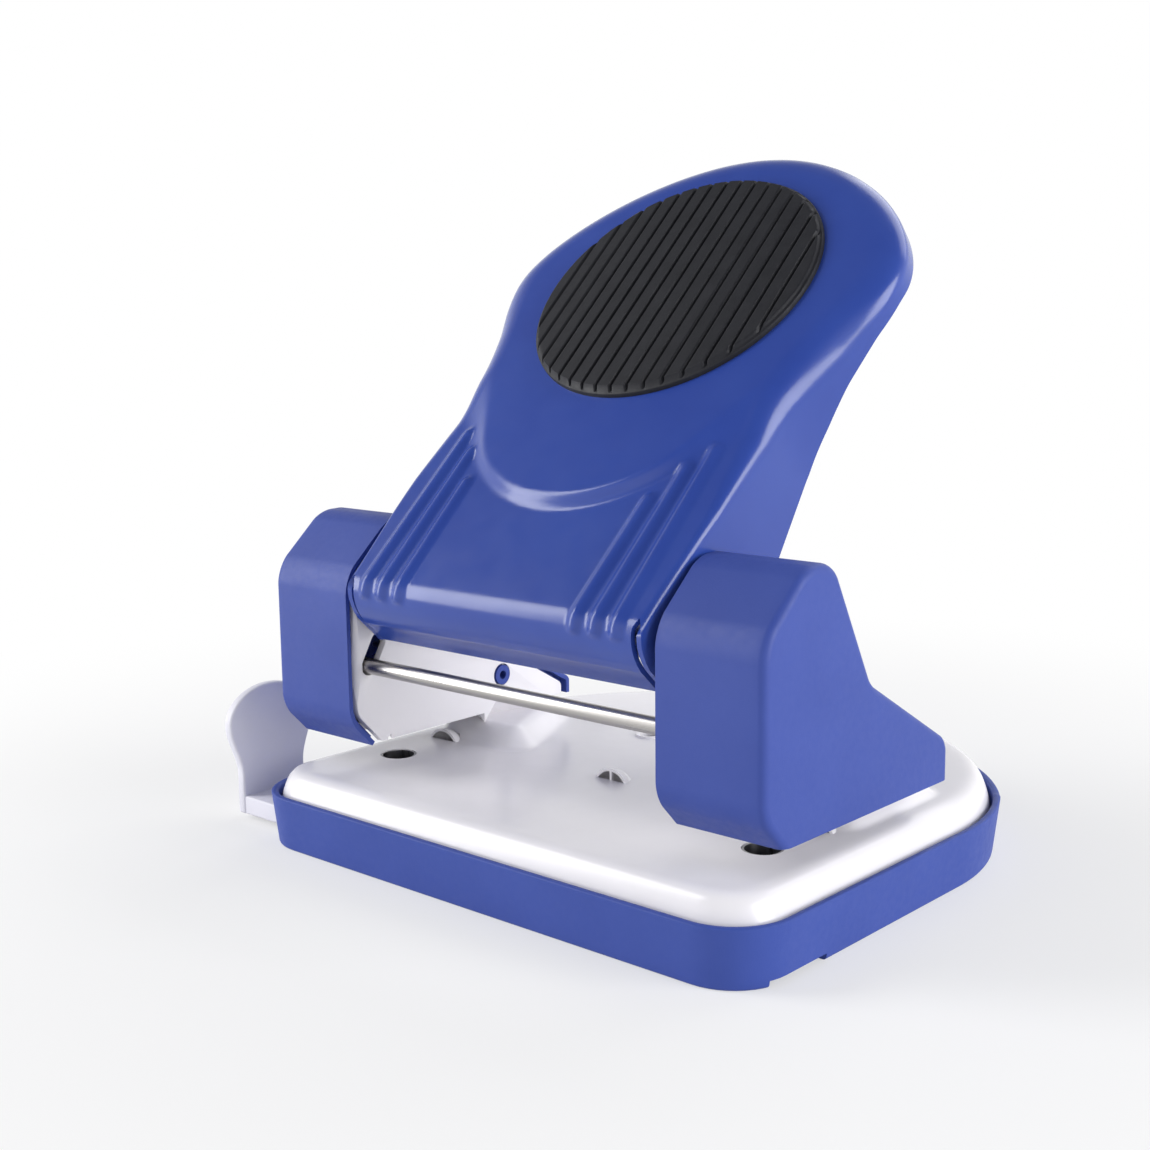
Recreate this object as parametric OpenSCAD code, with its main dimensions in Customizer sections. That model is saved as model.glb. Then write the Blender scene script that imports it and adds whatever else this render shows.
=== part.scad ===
// Desk punch for two holes: a pressed lever turns on an axle between two folded
// brackets, its cross bar drives two sprung pins through the base into the tray.
// Millimetres, X to the right, Y to the back, Z up, origin on the desk between the tray's sides.

/* [Node] */
// Which node is drawn

/* [Tray and paper guide] */
// Width of the tray over the rim
tray_w = 108.2; // [100:0.1:116]
// Front of the rim, from the origin
tray_front = 39.15; // [36:0.05:42]
// Corner radius of the rim at the front
tray_r = 10.5; // [10.5:0.5:16]
// Where the straight sides end
tray_side = 19.8; // [10:0.1:30]
// Depth of the round back behind the sides
tray_back = 49.1; // [30:0.1:56]
// Height of the rim above the desk
tray_h = 9.5; // [8:0.1:12]
// How far the foot of the wall stands inside the rim
tray_draft = 1.1; // [0.4:0.1:2]
// Thickness of the rim
tray_wall = 1.2; // [0.8:0.1:2]
// Thickness of the tray floor
tray_floor = 1.4; // [1:0.1:2]
// Height of the inner ledge that carries the base plate
ledge_z = 6.4; // [5.8:0.1:7]
// Width of that ledge
ledge_w = 1.6; // [1:0.1:2.4]
// Middle of the guide bar, front to back
bar_y = -25.4; // [-28:0.1:-22]
// Width of the guide bar
bar_w = 13.6; // [10:0.1:16]
// Thickness of the guide bar
bar_t = 3.4; // [2.4:0.1:4]
// Underside of the guide bar above the desk
bar_z = 1.0; // [0.8:0.1:1.4]
// Right end of the guide bar
bar_end = 42; // [30:1:50]
// Outer face of the stop plate
plate_x = -66; // [-90:0.5:-60]
// Thickness of the stop plate
plate_t = 2; // [1.5:0.1:3]
// Half width of the stop plate's head
head_a = 9.4; // [8:0.1:12]
// Height of the head above its widest place
head_b = 6.7; // [5:0.1:10]
// Height of the head's widest place
head_z = 17.8; // [14:0.1:19]
// Half width of the stop plate's neck
neck_a = 7; // [6:0.1:8]
// Height at which the neck starts to widen
neck_z = 8.4; // [6:0.1:10]
// Height of the finger notch at the right end of the guide channel
notch_h = 1.1; // [0.8:0.1:2]
// How much lower the rim is at the back
rim_cut = 0.7; // [0:0.1:1]
// Where that lower rim starts
rim_cut_y = 42; // [30:0.5:50]
// Lips that hold the guide bar up
lip_w = 1.2; // [0.8:0.1:2]
// Thickness of those lips
lip_t = 0.7; // [0.5:0.1:0.9]

/* [Base plate] */
// Height of the flat top of the base plate
base_z = 13.2; // [12:0.1:15]
// Sheet thickness of the base plate
base_t = 1.2; // [0.8:0.1:1.6]
// Width of the falling shoulder round the flat top
shoulder = 8; // [5:0.1:8.4]
// How far the shoulder falls
drop = 5.2; // [4:0.1:6]
// How round the shoulder is
drop_power = 5; // [2:0.1:6]
// Lower edge of the base plate
base_low = 6.5; // [6.4:0.1:7.4]
// Distance between the two punched holes
hole_pitch = 80; // [80:0.1:80]
// Distance from the paper's edge to the hole's middle
hole_edge = 12; // [12:0.1:12]
// Where the paper's edge stops
stop_y = -4; // [-6:0.1:-2]
// Side stops from the middle
stop_x = 41; // [38:0.5:44]
// Outer radius of the raised stops
stop_r = 3.9; // [3:0.1:5]
// Height of the raised stops
stop_h = 2.0; // [1.4:0.1:2.6]
// Height of the pads under the brackets
pad_z = 17; // [16:0.1:17.4]
// Latch holes from the middle
latch_x = 13; // [10:0.5:16]
// Latch holes, front to back
latch_y = 22.5; // [18:0.5:26]
// Radius of the latch holes
latch_r = 1.9; // [1.4:0.1:2.6]

/* [Brackets and covers] */
// Inner face of the bracket walls from the middle
wall_x = 33.5; // [33.2:0.1:34]
// Sheet thickness of the brackets
plate = 1.4; // [1:0.1:2]
// Open edge of the covers from the middle
cover_in = 33.2; // [32.8:0.1:33.4]
// Outer face of the covers from the middle
cover_out = 52; // [49:0.1:52.5]
// Wall thickness of the covers
cover_t = 1.7; // [1.2:0.1:2.4]
// Rounding of the outer edge of the covers
cover_round = 2.7; // [2:0.1:3.2]
// Lower edge of the covers
throat_z = 18.5; // [17.6:0.1:19]
// Front face of the covers
cover_front = -32.7; // [-34:0.1:-31]
// Back end of the covers' toes at the outer face
cover_rear = 16.8; // [15:0.1:20]
// How much longer the toes are at the open edge
toe_skew = 5.6; // [0:0.1:6]
// Rear snap stud of the cover, front to back
stud_y = 4.3; // [2:0.1:8]
// Rear snap stud of the cover, height
stud_z = 25.1; // [23:0.1:27]
// Outer radius of the studs
stud_r = 1.8; // [1.4:0.1:2.2]
// Radius of the hole in the studs
stud_bore = 0.8; // [0.5:0.1:1.2]

/* [Punching] */
// Radius of the punch pins
pin_r = 2.75; // [2.5:0.05:3]
// Tip of the pins at rest
pin_tip = 18.6; // [18.4:0.1:19]
// Top of the pins' heads at rest
pin_top = 44.65; // [44:0.05:46]
// Radius of the pins' heads
pin_head = 4.4; // [3.6:0.1:5]
// Outer radius of the dies
die_r = 4.4; // [4:0.1:5]
// Height of the dies
die_h = 4; // [3:0.1:5]
// Wire radius of the return springs
wire_r = 0.4; // [0.3:0.05:0.5]
// Coil radius of the return springs
coil_r = 3.7; // [3.4:0.1:4]
// Turns of the return springs
coil_turns = 5; // [4:0.5:7]
// Upper guide shelf of the brackets
shelf_z = 28; // [26:0.1:30]
// Radius of the press bar
press_r = 3; // [2.5:0.1:3.2]
// Half the length of the press bar
press_half = 45.5; // [44:0.1:47]
// Distance from the axle to the press bar
press_arm = 10.9; // [10:0.1:12]
// Angle of the press bar above level at rest
press_rise = 19; // [15:0.5:22]
// Full turn of the lever
lever_turn = 38; // [30:1:40]

/* [Lever] */
// Front fold of the lever, front to back
lever_y = -33.4; // [-35:0.1:-32]
// Front fold of the lever, height
lever_z = 48.6; // [47:0.1:50]
// Slope of the lever at rest
lever_slope = 43.3; // [38:0.1:46]
// Sheet thickness of the lever
lever_t = 1.2; // [0.8:0.1:1.6]
// Half width of the lever at the front
lever_half = 31.4; // [30:0.1:31.8]
// Length of the lever's panel
lever_len = 101.3; // [98:0.1:108]
// Widest half width of the head
head_half = 40.4; // [38:0.1:43]
// Rounding of the side folds at the front
fold_r = 2.5; // [2:0.1:4]
// Rounding of the head's edge
head_fold = 3.6; // [3:0.1:4]
// Height of the raised paddle
paddle_h = 1.5; // [1:0.1:3]
// Width of the paddle's sloping step
paddle_step = 4.6; // [3:0.1:6]
// Radius of the paddle's lower end
paddle_r = 20; // [16:0.5:24]
// Middle of the paddle's lower end along the lever
paddle_v = 39.4; // [36:0.1:44]
// Height of the ribs
rib_h = 0.7; // [0.4:0.1:1]
// Radius of the ribs
rib_r = 1.5; // [1:0.1:2]
// Half axis of the grip across the lever
grip_a = 27; // [24:0.1:29]
// Half axis of the grip along the lever
grip_b = 25.7; // [23:0.1:27]
// Middle of the grip along the lever
grip_v = 66.5; // [64:0.1:69]
// Thickness of the grip at its edge
grip_t = 0.9; // [0.6:0.1:2]
// Extra thickness of the grip in the middle
grip_dome = 0.5; // [0:0.1:1]
// Distance between the grip's grooves
grip_pitch = 3.15; // [2.5:0.05:4]
// Width of the grip's grooves
grip_groove = 0.9; // [0.5:0.1:1.4]

/* [Axle and lock rod] */
// Axle, front to back
axle_y = -26.6; // [-28:0.1:-25]
// Axle, height
axle_z = 44.4; // [43:0.1:46]
// Radius of the axle
axle_r = 2.5; // [2:0.1:2.6]
// Half the length of the axle
axle_half = 37.6; // [36.6:0.1:40]
// Lock rod at the lower end of its slot, front to back
rod_y = -27.8; // [-28.2:0.1:-27]
// Lock rod at the lower end of its slot, height
rod_z = 32.4; // [31:0.1:34]
// Radius of the lock rod
rod_r = 1.35; // [1.2:0.05:1.5]
// Half the length of the lock rod
rod_half = 48; // [40:0.5:48.5]
// Travel of the lock rod along its slot
rod_travel = 4.4; // [4:0.1:5]
// Slope of the lock rod's slot
rod_slope = 60; // [50:1:70]

/* [Hidden] */

blue = [0.2, 0.25, 0.6];
white = [0.9, 0.9, 0.93];
steel = [0.7, 0.7, 0.72];
black = [0.1, 0.1, 0.11];
pale = [0.8, 0.79, 0.82];

// Overshoot of cutting tools
eps = 0.5;
// Clearance between sliding plastic parts
slide_gap = 0.4;
// Radial running clearance of shafts in their bores
run_gap = 0.06;
// Clearance of fixed pins in their holes
fix_gap = 0.03;
// Clearance of the pins in the base plate
hole_gap = 0.08;
// Clearance of the base plate inside the tray's rim
base_gap = 0.6;
// Clearance of the brackets inside the covers
cover_gap = 0.3;
// Clearance of the lock rod and the studs in the brackets
rod_gap = 0.3;
// Extra angle of the press bar's slot at each end
slot_over = 1;
// Facets of the round corners that are hulled
corner_fn = 36;
// Steps of a rounded corner in a profile
arc_steps = 5;

hole_x = hole_pitch / 2;
hole_y = stop_y - hole_edge;
hole_r = pin_r + hole_gap;
die_top = base_z - base_t;

// Plain vector helpers
function unit(a) = a / norm(a);
function clamp01(x) = min(1, max(0, x));
function smooth(x) = clamp01(x) * clamp01(x) * (3 - 2 * clamp01(x));
function wrap(a) = (a + 540) % 360 - 180;
function bezier(p, t) = p[0] * pow(1 - t, 3) + p[1] * 3 * t * pow(1 - t, 2)
    + p[2] * 3 * t * t * (1 - t) + p[3] * pow(t, 3);

// Points of one rounded corner b between a and c
function corner(a, b, c, r) =
    let (da = unit(a - b),
        dc = unit(c - b),
        half = acos(da * dc) / 2,
        reach = r / tan(half),
        mid = b + unit(da + dc) * r / sin(half),
        first = b + da * reach - mid,
        last = b + dc * reach - mid,
        start = atan2(first[1], first[0]),
        sweep = wrap(atan2(last[1], last[0]) - start))
    r == 0 ? [b] : [for (k = [0 : arc_steps])
        mid + r * [cos(start + sweep * k / arc_steps), sin(start + sweep * k / arc_steps)]];

// An open profile from corners given as position and radius
function rounded(p) = let (last = len(p) - 1)
    concat([[p[0][0], p[0][1]]],
        [for (i = [1 : last - 1])
            each corner([p[i - 1][0], p[i - 1][1]], [p[i][0], p[i][1]], [p[i + 1][0], p[i + 1][1]], p[i][2])],
        [[p[last][0], p[last][1]]]);

// The same open profile moved inward by d, with its ends kept at their height
function inset(p, d) = [for (i = [0 : len(p) - 1])
    let (last = len(p) - 1,
        t = unit(p[min(last, i + 1)] - p[max(0, i - 1)]))
    i == 0 || i == last ? p[i] - [d / t[1], 0] : p[i] + d * [-t[1], t[0]]];

// Faces between consecutive rings of n points each
function ring_faces(rings, n) = [for (k = [0 : rings - 2], i = [0 : n - 1])
    let (a = k * n + i,
        b = k * n + (i + 1) % n)
    each [[a, b, a + n], [b, b + n, a + n]]];

// Side profile of the covers at one X, seen from the right, back to front
knee = [-5.5, 37.9];
knee_r = 5;
toe_fall = 0.575;
toe_r = 3.4;
crown_back = [-15.9, 57.4, 4.6];
crown_front = [-22.8, 57.2, 6];
brow = [48.3, 7];
chin = [23.5, 6];
chin_end = -27.9;
function toe_end(x) = cover_rear + toe_skew * sin(90 * clamp01((cover_out - x) / (cover_out - cover_in)));
function cover_profile(x) = rounded([[toe_end(x), throat_z],
    [toe_end(x), knee[1] - toe_fall * (toe_end(x) - knee[0]), toe_r], [knee[0], knee[1], knee_r],
    crown_back, crown_front, [cover_front, brow[0], brow[1]],
    [cover_front, chin[0], chin[1]], [chin_end, throat_z]]);
wall_profile = inset(cover_profile(cover_in), cover_t + cover_gap);

// Turns a drawing of front-to-back against height into a slab along X
module slab(x0, x1) {
    translate([x0, 0, 0])
        rotate([90, 0, 90])
            linear_extrude(x1 - x0)
                children();
}

// A round bar along X
module bar_x(y, z, r, half) {
    translate([-half, y, z])
        rotate([0, 90, 0])
            cylinder(r = r, h = 2 * half, $fn = 64);
}

// A round bar along X from one X to another
module bar_from(x0, x1, y, z, r) {
    translate([x0, y, z])
        rotate([0, 90, 0])
            cylinder(r = r, h = x1 - x0, $fn = 64);
}

module both_sides() {
    children();
    mirror([1, 0, 0])
        children();
}

// Plan of the tray, round at the back, moved inward by d
corner_steps = 8;
back_steps = 40;
function plan(d) = let (w = tray_w / 2)
    concat(
        [for (s = [-1, 1], k = [0 : corner_steps])
            let (a = (s < 0 ? 180 : 270) + 90 * k / corner_steps,
                r = tray_r - d)
            [s * (w - tray_r) + r * cos(a), tray_r - tray_front + r * sin(a)]],
        [for (k = [0 : back_steps])
            let (a = 180 * k / back_steps)
            [(w - d) * cos(a), tray_side + (tray_back - d) * sin(a)]]);
plan_n = len(plan(0));

// Solid through such plans, each given as inset and height, from the top down
module stack(rings) {
    last = len(rings) - 1;
    polyhedron(points = [for (q = rings) each [for (p = plan(q[0])) [p[0], p[1], q[1]]]],
        faces = concat(ring_faces(last + 1, plan_n),
            [[for (i = [plan_n - 1 : -1 : 0]) i]],
            [[for (i = [0 : plan_n - 1]) last * plan_n + i]]), convexity = 4);
}

// Drafted block between two heights, inset by d at the rim's height
module drafted(d, z0, z1) {
    slope = tray_draft / tray_h;
    stack([for (z = [z1, z0]) [d + slope * (tray_h - z), z]]);
}

tunnel_w = bar_w + 2 * slide_gap;
tunnel_h = bar_z + bar_t + slide_gap;
tunnel_wall = 1.1;
tunnel_end = 51.4;

module chip_tray() {
    color(blue)
        difference() {
            union() {
                difference() {
                    drafted(0, 0, tray_h);
                    drafted(tray_wall, ledge_z, tray_h + eps);
                    drafted(tray_wall + ledge_w, tray_floor, ledge_z + eps);
                    translate([-tray_w / 2, rim_cut_y, tray_h - rim_cut])
                        cube([tray_w, tray_back, tray_h]);
                }
                translate([-tunnel_end, bar_y - tunnel_w / 2 - tunnel_wall, 0])
                    cube([2 * tunnel_end, tunnel_w + 2 * tunnel_wall, tunnel_h + tunnel_wall]);
            }
            translate([-tray_w, bar_y - tunnel_w / 2, lip_t])
                cube([tray_w + tunnel_end, tunnel_w, tunnel_h - lip_t]);
            translate([-tray_w, bar_y - tunnel_w / 2 + lip_w, -eps])
                cube([tray_w + tunnel_end, tunnel_w - 2 * lip_w, tunnel_h]);
            translate([0, bar_y - bar_w / 2 + slide_gap, -eps])
                cube([tray_w, bar_w - slide_gap, notch_h + eps]);
        }
}

// Right half of the stop plate's outline, from its foot to the top of its head
head_steps = 14;
plate_side = concat([[neck_a, bar_z]],
    [for (k = [0 : head_steps])
        let (q = k / head_steps)
        [neck_a + (head_a - neck_a) * smooth(q), neck_z + (head_z - neck_z) * q]],
    [for (k = [1 : head_steps])
        let (a = 90 * k / head_steps)
        [head_a * cos(a), head_z + head_b * sin(a)]]);

module guide_bar() {
    last = len(plate_side) - 1;
    color(pale) {
        translate([plate_x + plate_t / 2, bar_y - bar_w / 2, bar_z])
            cube([bar_end - plate_x - plate_t / 2, bar_w, bar_t]);
        slab(plate_x, plate_x + plate_t)
            translate([bar_y, 0])
                polygon(concat(plate_side,
                    [for (i = [last - 1 : -1 : 0]) [-plate_side[i][0], plate_side[i][1]]]));
    }
}

// Height of the base plate's skin at a distance from its flat top
function fall(q) = drop * pow(clamp01(q), drop_power);
shoulder_steps = 9;

// The domed base, or with inner the hollow under its sheet
module dome(inner) {
    edge = tray_wall + base_gap;
    stack(concat(
        [for (k = [0 : shoulder_steps])
            let (q = k / shoulder_steps)
            [edge + shoulder - (shoulder - inner) * q, base_z - inner - fall(q)]],
        [[edge + inner, base_low - inner]]));
}

pad_x0 = 23.8;
pad_x1 = 46.6;
pad_y0 = -2.8;
pad_y1 = 26.4;
pad_soft = 3.4;
pad_taper = 9.5;

// Raised pad with sloping sides under one bracket, narrower at the back
module pad(inner) {
    foot = 5;
    low = base_z - 2;
    hull()
        for (p = [[pad_x0 + foot, pad_y0 + foot], [pad_x1 - foot, pad_y0 + foot],
            [pad_x1 - foot, pad_y1 - foot], [pad_x0 + pad_taper + foot, pad_y1 - foot]])
            translate([p[0], p[1], low])
                cylinder(r1 = foot - inner, r2 = foot - pad_soft - inner / 2,
                    h = pad_z - inner - low, $fn = corner_fn);
}

ball_z = base_z + stop_h - stop_r;
stop_wall = 0.8;

// Hollow behind the open front of a stop, through the sheet
module stop_hollow(x) {
    r = stop_r - stop_wall;
    intersection() {
        translate([x, stop_y, ball_z])
            sphere(r = r, $fn = 64);
        translate([x - stop_r, stop_y, ball_z])
            cube([2 * stop_r, stop_r, stop_r]);
    }
}

// Half dome with an open front, the stop for the paper's edge
module paper_stop(x, web) {
    difference() {
        translate([x, stop_y, ball_z])
            sphere(r = stop_r, $fn = 64);
        translate([x - stop_r - eps, stop_y - 2 * stop_r, ball_z - stop_r])
            cube([2 * stop_r + 2 * eps, 2 * stop_r, 3 * stop_r]);
        translate([x, stop_y, ball_z])
            sphere(r = stop_r - stop_wall, $fn = 64);
        translate([x - stop_r - eps, stop_y - stop_r, ball_z - 2 * stop_r])
            cube([2 * stop_r + 2 * eps, 3 * stop_r, base_z - base_t / 2 - ball_z + 2 * stop_r]);
    }
    if (web)
        intersection() {
            translate([x, stop_y, ball_z])
                sphere(r = stop_r - stop_wall / 2, $fn = 64);
            translate([x - stop_wall / 3, stop_y, base_z - base_t / 2])
                cube([2 * stop_wall / 3, stop_wall, stop_h]);
        }
}

rivet_y = [4, 12.5];
rivet_x = 39.5;
rivet_r = 1.5;
rivet_head = 2.4;

module base_plate() {
    ring = 1.2;
    rise = 0.4;
    color(white) {
        difference() {
            union() {
                dome(0);
                pad(0);
                mirror([1, 0, 0])
                    pad(0);
                both_sides()
                    translate([latch_x, latch_y, base_z - base_t])
                        cylinder(r = latch_r + ring, h = base_t + rise, $fn = 48);
            }
            dome(base_t);
            pad(base_t);
            mirror([1, 0, 0])
                pad(base_t);
            for (x = [-stop_x, 0, stop_x])
                stop_hollow(x);
            both_sides() {
                translate([hole_x, hole_y, 0])
                    cylinder(r = hole_r, h = base_z + eps, $fn = 64);
                translate([latch_x, latch_y, 0])
                    cylinder(r = latch_r, h = base_z + 2 * eps, $fn = 48);
                for (y = rivet_y)
                    translate([rivet_x, y, 0])
                        cylinder(r = rivet_r + fix_gap, h = pad_z + eps, $fn = 48);
            }
        }
        paper_stop(0, true);
        paper_stop(stop_x, false);
        paper_stop(-stop_x, false);
    }
}

module die(x) {
    color(steel)
        translate([x, hole_y, die_top - die_h])
            difference() {
                cylinder(r = die_r, h = die_h, $fn = 64);
                translate([0, 0, -eps])
                    cylinder(r = pin_r + run_gap, h = die_h + 2 * eps, $fn = 64);
            }
}

module left_die() {
    die(-hole_x);
}

module right_die() {
    die(hole_x);
}

// How far the brackets' lower edge hides above the covers'
hidden_up = 0.2;
shelf_out = 46;
shelf_front = -23.2;
shelf_back = -7.5;
foot_front = -0.5;
foot_back = 17;
foot_out = 44;
flange_out = 44;
flange_low = 30.2;
flange_high = 40.4;
wall_low = throat_z + hidden_up;
wall_front = cover_front + cover_t + cover_gap;

// Slot with round ends, drawn from one middle to another
module slot2d(y, z, r, slope, run) {
    translate([y, z]) {
        circle(r = r, $fn = 48);
        rotate(slope) {
            translate([0, -r])
                square([run, 2 * r]);
            translate([run, 0])
                circle(r = r, $fn = 48);
        }
    }
}

// Arc slot for the press bar, about the axle
module arc_slot(x0, x1) {
    r = press_r + slide_gap;
    low = press_rise - lever_turn - slot_over;
    for (a = [press_rise + slot_over, low])
        bar_from(x0, x1, axle_y + press_arm * cos(a), axle_z + press_arm * sin(a), r);
    translate([x0, axle_y, axle_z])
        rotate([90, 0, 90])
            rotate([0, 0, low])
                rotate_extrude(angle = lever_turn + 2 * slot_over, $fn = 96)
                    translate([press_arm - r, 0])
                        square([2 * r, x1 - x0]);
}

module bracket() {
    x0 = wall_x;
    x1 = wall_x + plate;
    relief = 1.8;
    color(white)
        difference() {
            union() {
                slab(x0, x1)
                    difference() {
                        union() {
                            polygon(wall_profile);
                            translate([foot_front, pad_z])
                                square([foot_back - foot_front, wall_low - pad_z + eps]);
                        }
                        translate([cover_front, throat_z - eps])
                            square([foot_front - cover_front, wall_low - throat_z + eps]);
                        slot2d(rod_y, rod_z, rod_r + rod_gap, rod_slope, rod_travel);
                        translate([shelf_front, wall_low])
                            circle(r = relief / 2, $fn = 32);
                    }
                translate([x0, shelf_front, wall_low])
                    cube([shelf_out - x0, shelf_back - shelf_front, plate]);
                translate([x0, shelf_front, shelf_z])
                    cube([shelf_out - x0, shelf_back - shelf_front, plate]);
                translate([x0, foot_front, pad_z])
                    cube([foot_out - x0, foot_back - foot_front, plate]);
                translate([x0, wall_front, flange_low])
                    cube([flange_out - x0, plate, flange_high - flange_low]);
            }
            bar_from(x0 - eps, x1 + eps, axle_y, axle_z, axle_r + fix_gap);
            arc_slot(x0 - eps, x1 + eps);
            bar_from(x0 - eps, x1 + eps, stud_y, stud_z, stud_r + rod_gap);
            translate([hole_x, hole_y, wall_low - eps])
                cylinder(r = pin_r + run_gap, h = shelf_z, $fn = 64);
            for (y = rivet_y)
                translate([rivet_x, y, pad_z - eps])
                    cylinder(r = rivet_r + fix_gap, h = plate + 2 * eps, $fn = 48);
        }
}

module right_bracket() {
    bracket();
}

module left_bracket() {
    mirror([1, 0, 0])
        bracket();
}

round_steps = 4;

// Rings of the cover from the outer end, over the rim, to the inner end
side_steps = 3;
cover_rings = concat(
    [for (k = [0 : round_steps])
        let (a = 90 - 90 * k / round_steps)
        [cover_out - cover_round * (1 - sin(a)), cover_round * (1 - cos(a))]],
    [for (k = [1 : side_steps]) [cover_side(k / side_steps), 0]],
    [for (k = [side_steps : -1 : 1]) [cover_side(k / side_steps), cover_t]],
    [for (k = [0 : round_steps])
        let (a = 90 * k / round_steps,
            r = cover_round - cover_t)
        [cover_out - cover_round + r * sin(a), cover_t + r * (1 - cos(a))]]);
function cover_side(q) = cover_out - cover_round + (cover_in - cover_out + cover_round) * q;

// A place in the covers' side from which all of its edge can be seen
cover_mid = [-12, 26];

module cover_skin() {
    n = len(wall_profile);
    last = len(cover_rings) - 1;
    hub = (last + 1) * n;
    points = concat([for (q = cover_rings)
        each [for (p = inset(cover_profile(q[0]), q[1])) [q[0], p[0], p[1]]]],
        [for (k = [0, last]) [cover_rings[k][0], cover_mid[0], cover_mid[1]]]);
    sides = [for (k = [0 : last - 1], i = [0 : n - 2])
        let (a = k * n + i)
        each [[a, a + 1, a + n], [a + 1, a + n + 1, a + n]]];
    ends = [for (i = [0 : n - 1])
        let (j = (i + 1) % n)
        each [[j, i, hub], [last * n + i, last * n + j, hub + 1]]];
    // The lower edge, front and back, with the outer wall's between them
    half = (last - 1) / 2;
    feet = [for (k = [0 : half - 1], i = [0, n - 1])
        let (a = k * n + i,
            b = (last - k) * n + i)
        each i > 0 ? [[a, a + n, b - n], [a, b - n, b]] : [[b, b - n, a + n], [b, a + n, a]]];
    wall = [[last * n + n - 1, last * n, 0], [last * n + n - 1, 0, n - 1]];
    polyhedron(points = points, faces = concat(sides, ends, feet, wall), convexity = 6);
}

module stud(y, z) {
    difference() {
        bar_from(cover_in + cover_gap, cover_out - cover_t / 2, y, z, stud_r);
        bar_from(cover_in, cover_out - 2 * cover_t, y, z, stud_bore);
    }
}

module cover() {
    color(blue) {
        cover_skin();
        stud(stud_y, stud_z);
    }
}

module right_cover() {
    cover();
}

module left_cover() {
    mirror([1, 0, 0])
        cover();
}

module rivet(x, y) {
    head_t = 1;
    translate([x, y, pad_z - base_t - head_t])
        cylinder(r = rivet_head, h = head_t, $fn = 48);
    translate([x, y, pad_z - base_t - head_t / 2])
        cylinder(r = rivet_r, h = base_t + plate + head_t, $fn = 48);
    translate([x, y, pad_z + plate])
        cylinder(r = rivet_head, h = head_t, $fn = 48);
}

module bracket_rivets() {
    color(steel)
        both_sides()
            for (y = rivet_y)
                rivet(rivet_x, y);
}

clip_t = 0.8;
clip_gap = 0.1;
clip_side = 0.3;
groove_deep = 0.6;
clip_out = 1.2;
// Half width of the clips' mouth in shaft radii
clip_mouth = 0.55;

// Round shaft along X with a clip groove near each end
module shaft(y, z, r, half, clip_x) {
    difference() {
        bar_x(y, z, r, half);
        both_sides()
            difference() {
                bar_from(clip_x - clip_gap, clip_x + clip_t + clip_gap, y, z, r + eps);
                bar_from(clip_x - eps, clip_x + clip_t + eps, y, z, r - groove_deep);
            }
    }
}

// Pair of open retaining rings for such a shaft
module clips(y, z, r, clip_x) {
    both_sides()
        difference() {
            bar_from(clip_x, clip_x + clip_t, y, z, r + clip_out);
            bar_from(clip_x - eps, clip_x + clip_t + eps, y, z, r - groove_deep + fix_gap);
            translate([clip_x - eps, y - r * clip_mouth, z - 2 * r - clip_out])
                cube([clip_t + 2 * eps, 2 * r * clip_mouth, 2 * r + clip_out]);
        }
}

axle_clip_x = wall_x + plate + clip_side;
press_clip_x = lever_half - lever_t - 2 * clip_side + clip_gap;

module pivot_axle() {
    color(steel)
        shaft(axle_y, axle_z, axle_r, axle_half, axle_clip_x);
}

module axle_clips() {
    color(steel)
        clips(axle_y, axle_z, axle_r, axle_clip_x);
}

press_y = axle_y + press_arm * cos(press_rise);
press_z = axle_z + press_arm * sin(press_rise);

module press_bar() {
    color(steel)
        shaft(press_y, press_z, press_r, press_half, press_clip_x);
}

module press_bar_clips() {
    color(steel)
        clips(press_y, press_z, press_r, press_clip_x);
}

// Lever frame: across, along the slope, out of the panel
module in_lever() {
    translate([0, lever_y, lever_z])
        rotate([lever_slope, 0, 0])
            children();
}

axle_v = (axle_y - lever_y) * cos(lever_slope) + (axle_z - lever_z) * sin(lever_slope);
axle_h = (axle_z - lever_z) * cos(lever_slope) - (axle_y - lever_y) * sin(lever_slope);
press_v = (press_y - lever_y) * cos(lever_slope) + (press_z - lever_z) * sin(lever_slope);
press_h = (press_z - lever_z) * cos(lever_slope) - (press_y - lever_y) * sin(lever_slope);

neck_v = 38;
neck_half = 32.8;
flare_v = 22;
widest_v = 70.4;
side_curve = [[neck_half, neck_v], [32.6, 50], [head_half, 60.4], [head_half, widest_v]];
tip_curve = [[head_half, widest_v], [head_half, 81.9], [21.8, lever_len], [0, lever_len]];
neck_rows = 13;
side_rows = 8;
tip_rows = 11;

// Right side of the neck, flaring a little from the front
function neck(v) = [lever_half + (neck_half - lever_half) * min(1, v / flare_v), v];

// Right half of the lever's outline, front to tip
half_outline = concat(
    [for (v = [0, 4, 8]) neck(v)],
    [for (k = [0 : neck_rows]) neck(12 + (neck_v - 12) * k / neck_rows)],
    [for (k = [1 : side_rows]) bezier(side_curve, k / side_rows)],
    [for (k = [1 : tip_rows]) bezier(tip_curve, k / tip_rows)]);
half_n = len(half_outline);
outline = concat(half_outline,
    [for (i = [half_n - 2 : -1 : 0]) [-half_outline[i][0], half_outline[i][1]]]);
rim_n = len(outline);

// Outline moved inward by d
function rim_point(i, d) =
    let (a = outline[max(0, i - 1)],
        b = outline[min(rim_n - 1, i + 1)],
        t = unit(b - a))
    outline[i] + d * [-t[1], t[0]];

// Lower edge of the lever's sides along its length
skirt_table = [[0, -13.6], [4, -13.6], [8, -22], [30, -16.5], [41, -13.8], [49, -10.8],
    [55.7, -7.7], [63.4, -5.1], [69, -4.1], [110, -4.1]];
function skirt(v) = lookup(v, skirt_table);
function fold(v) = fold_r + (head_fold - fold_r) * smooth((v - 40) / 20);

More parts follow.
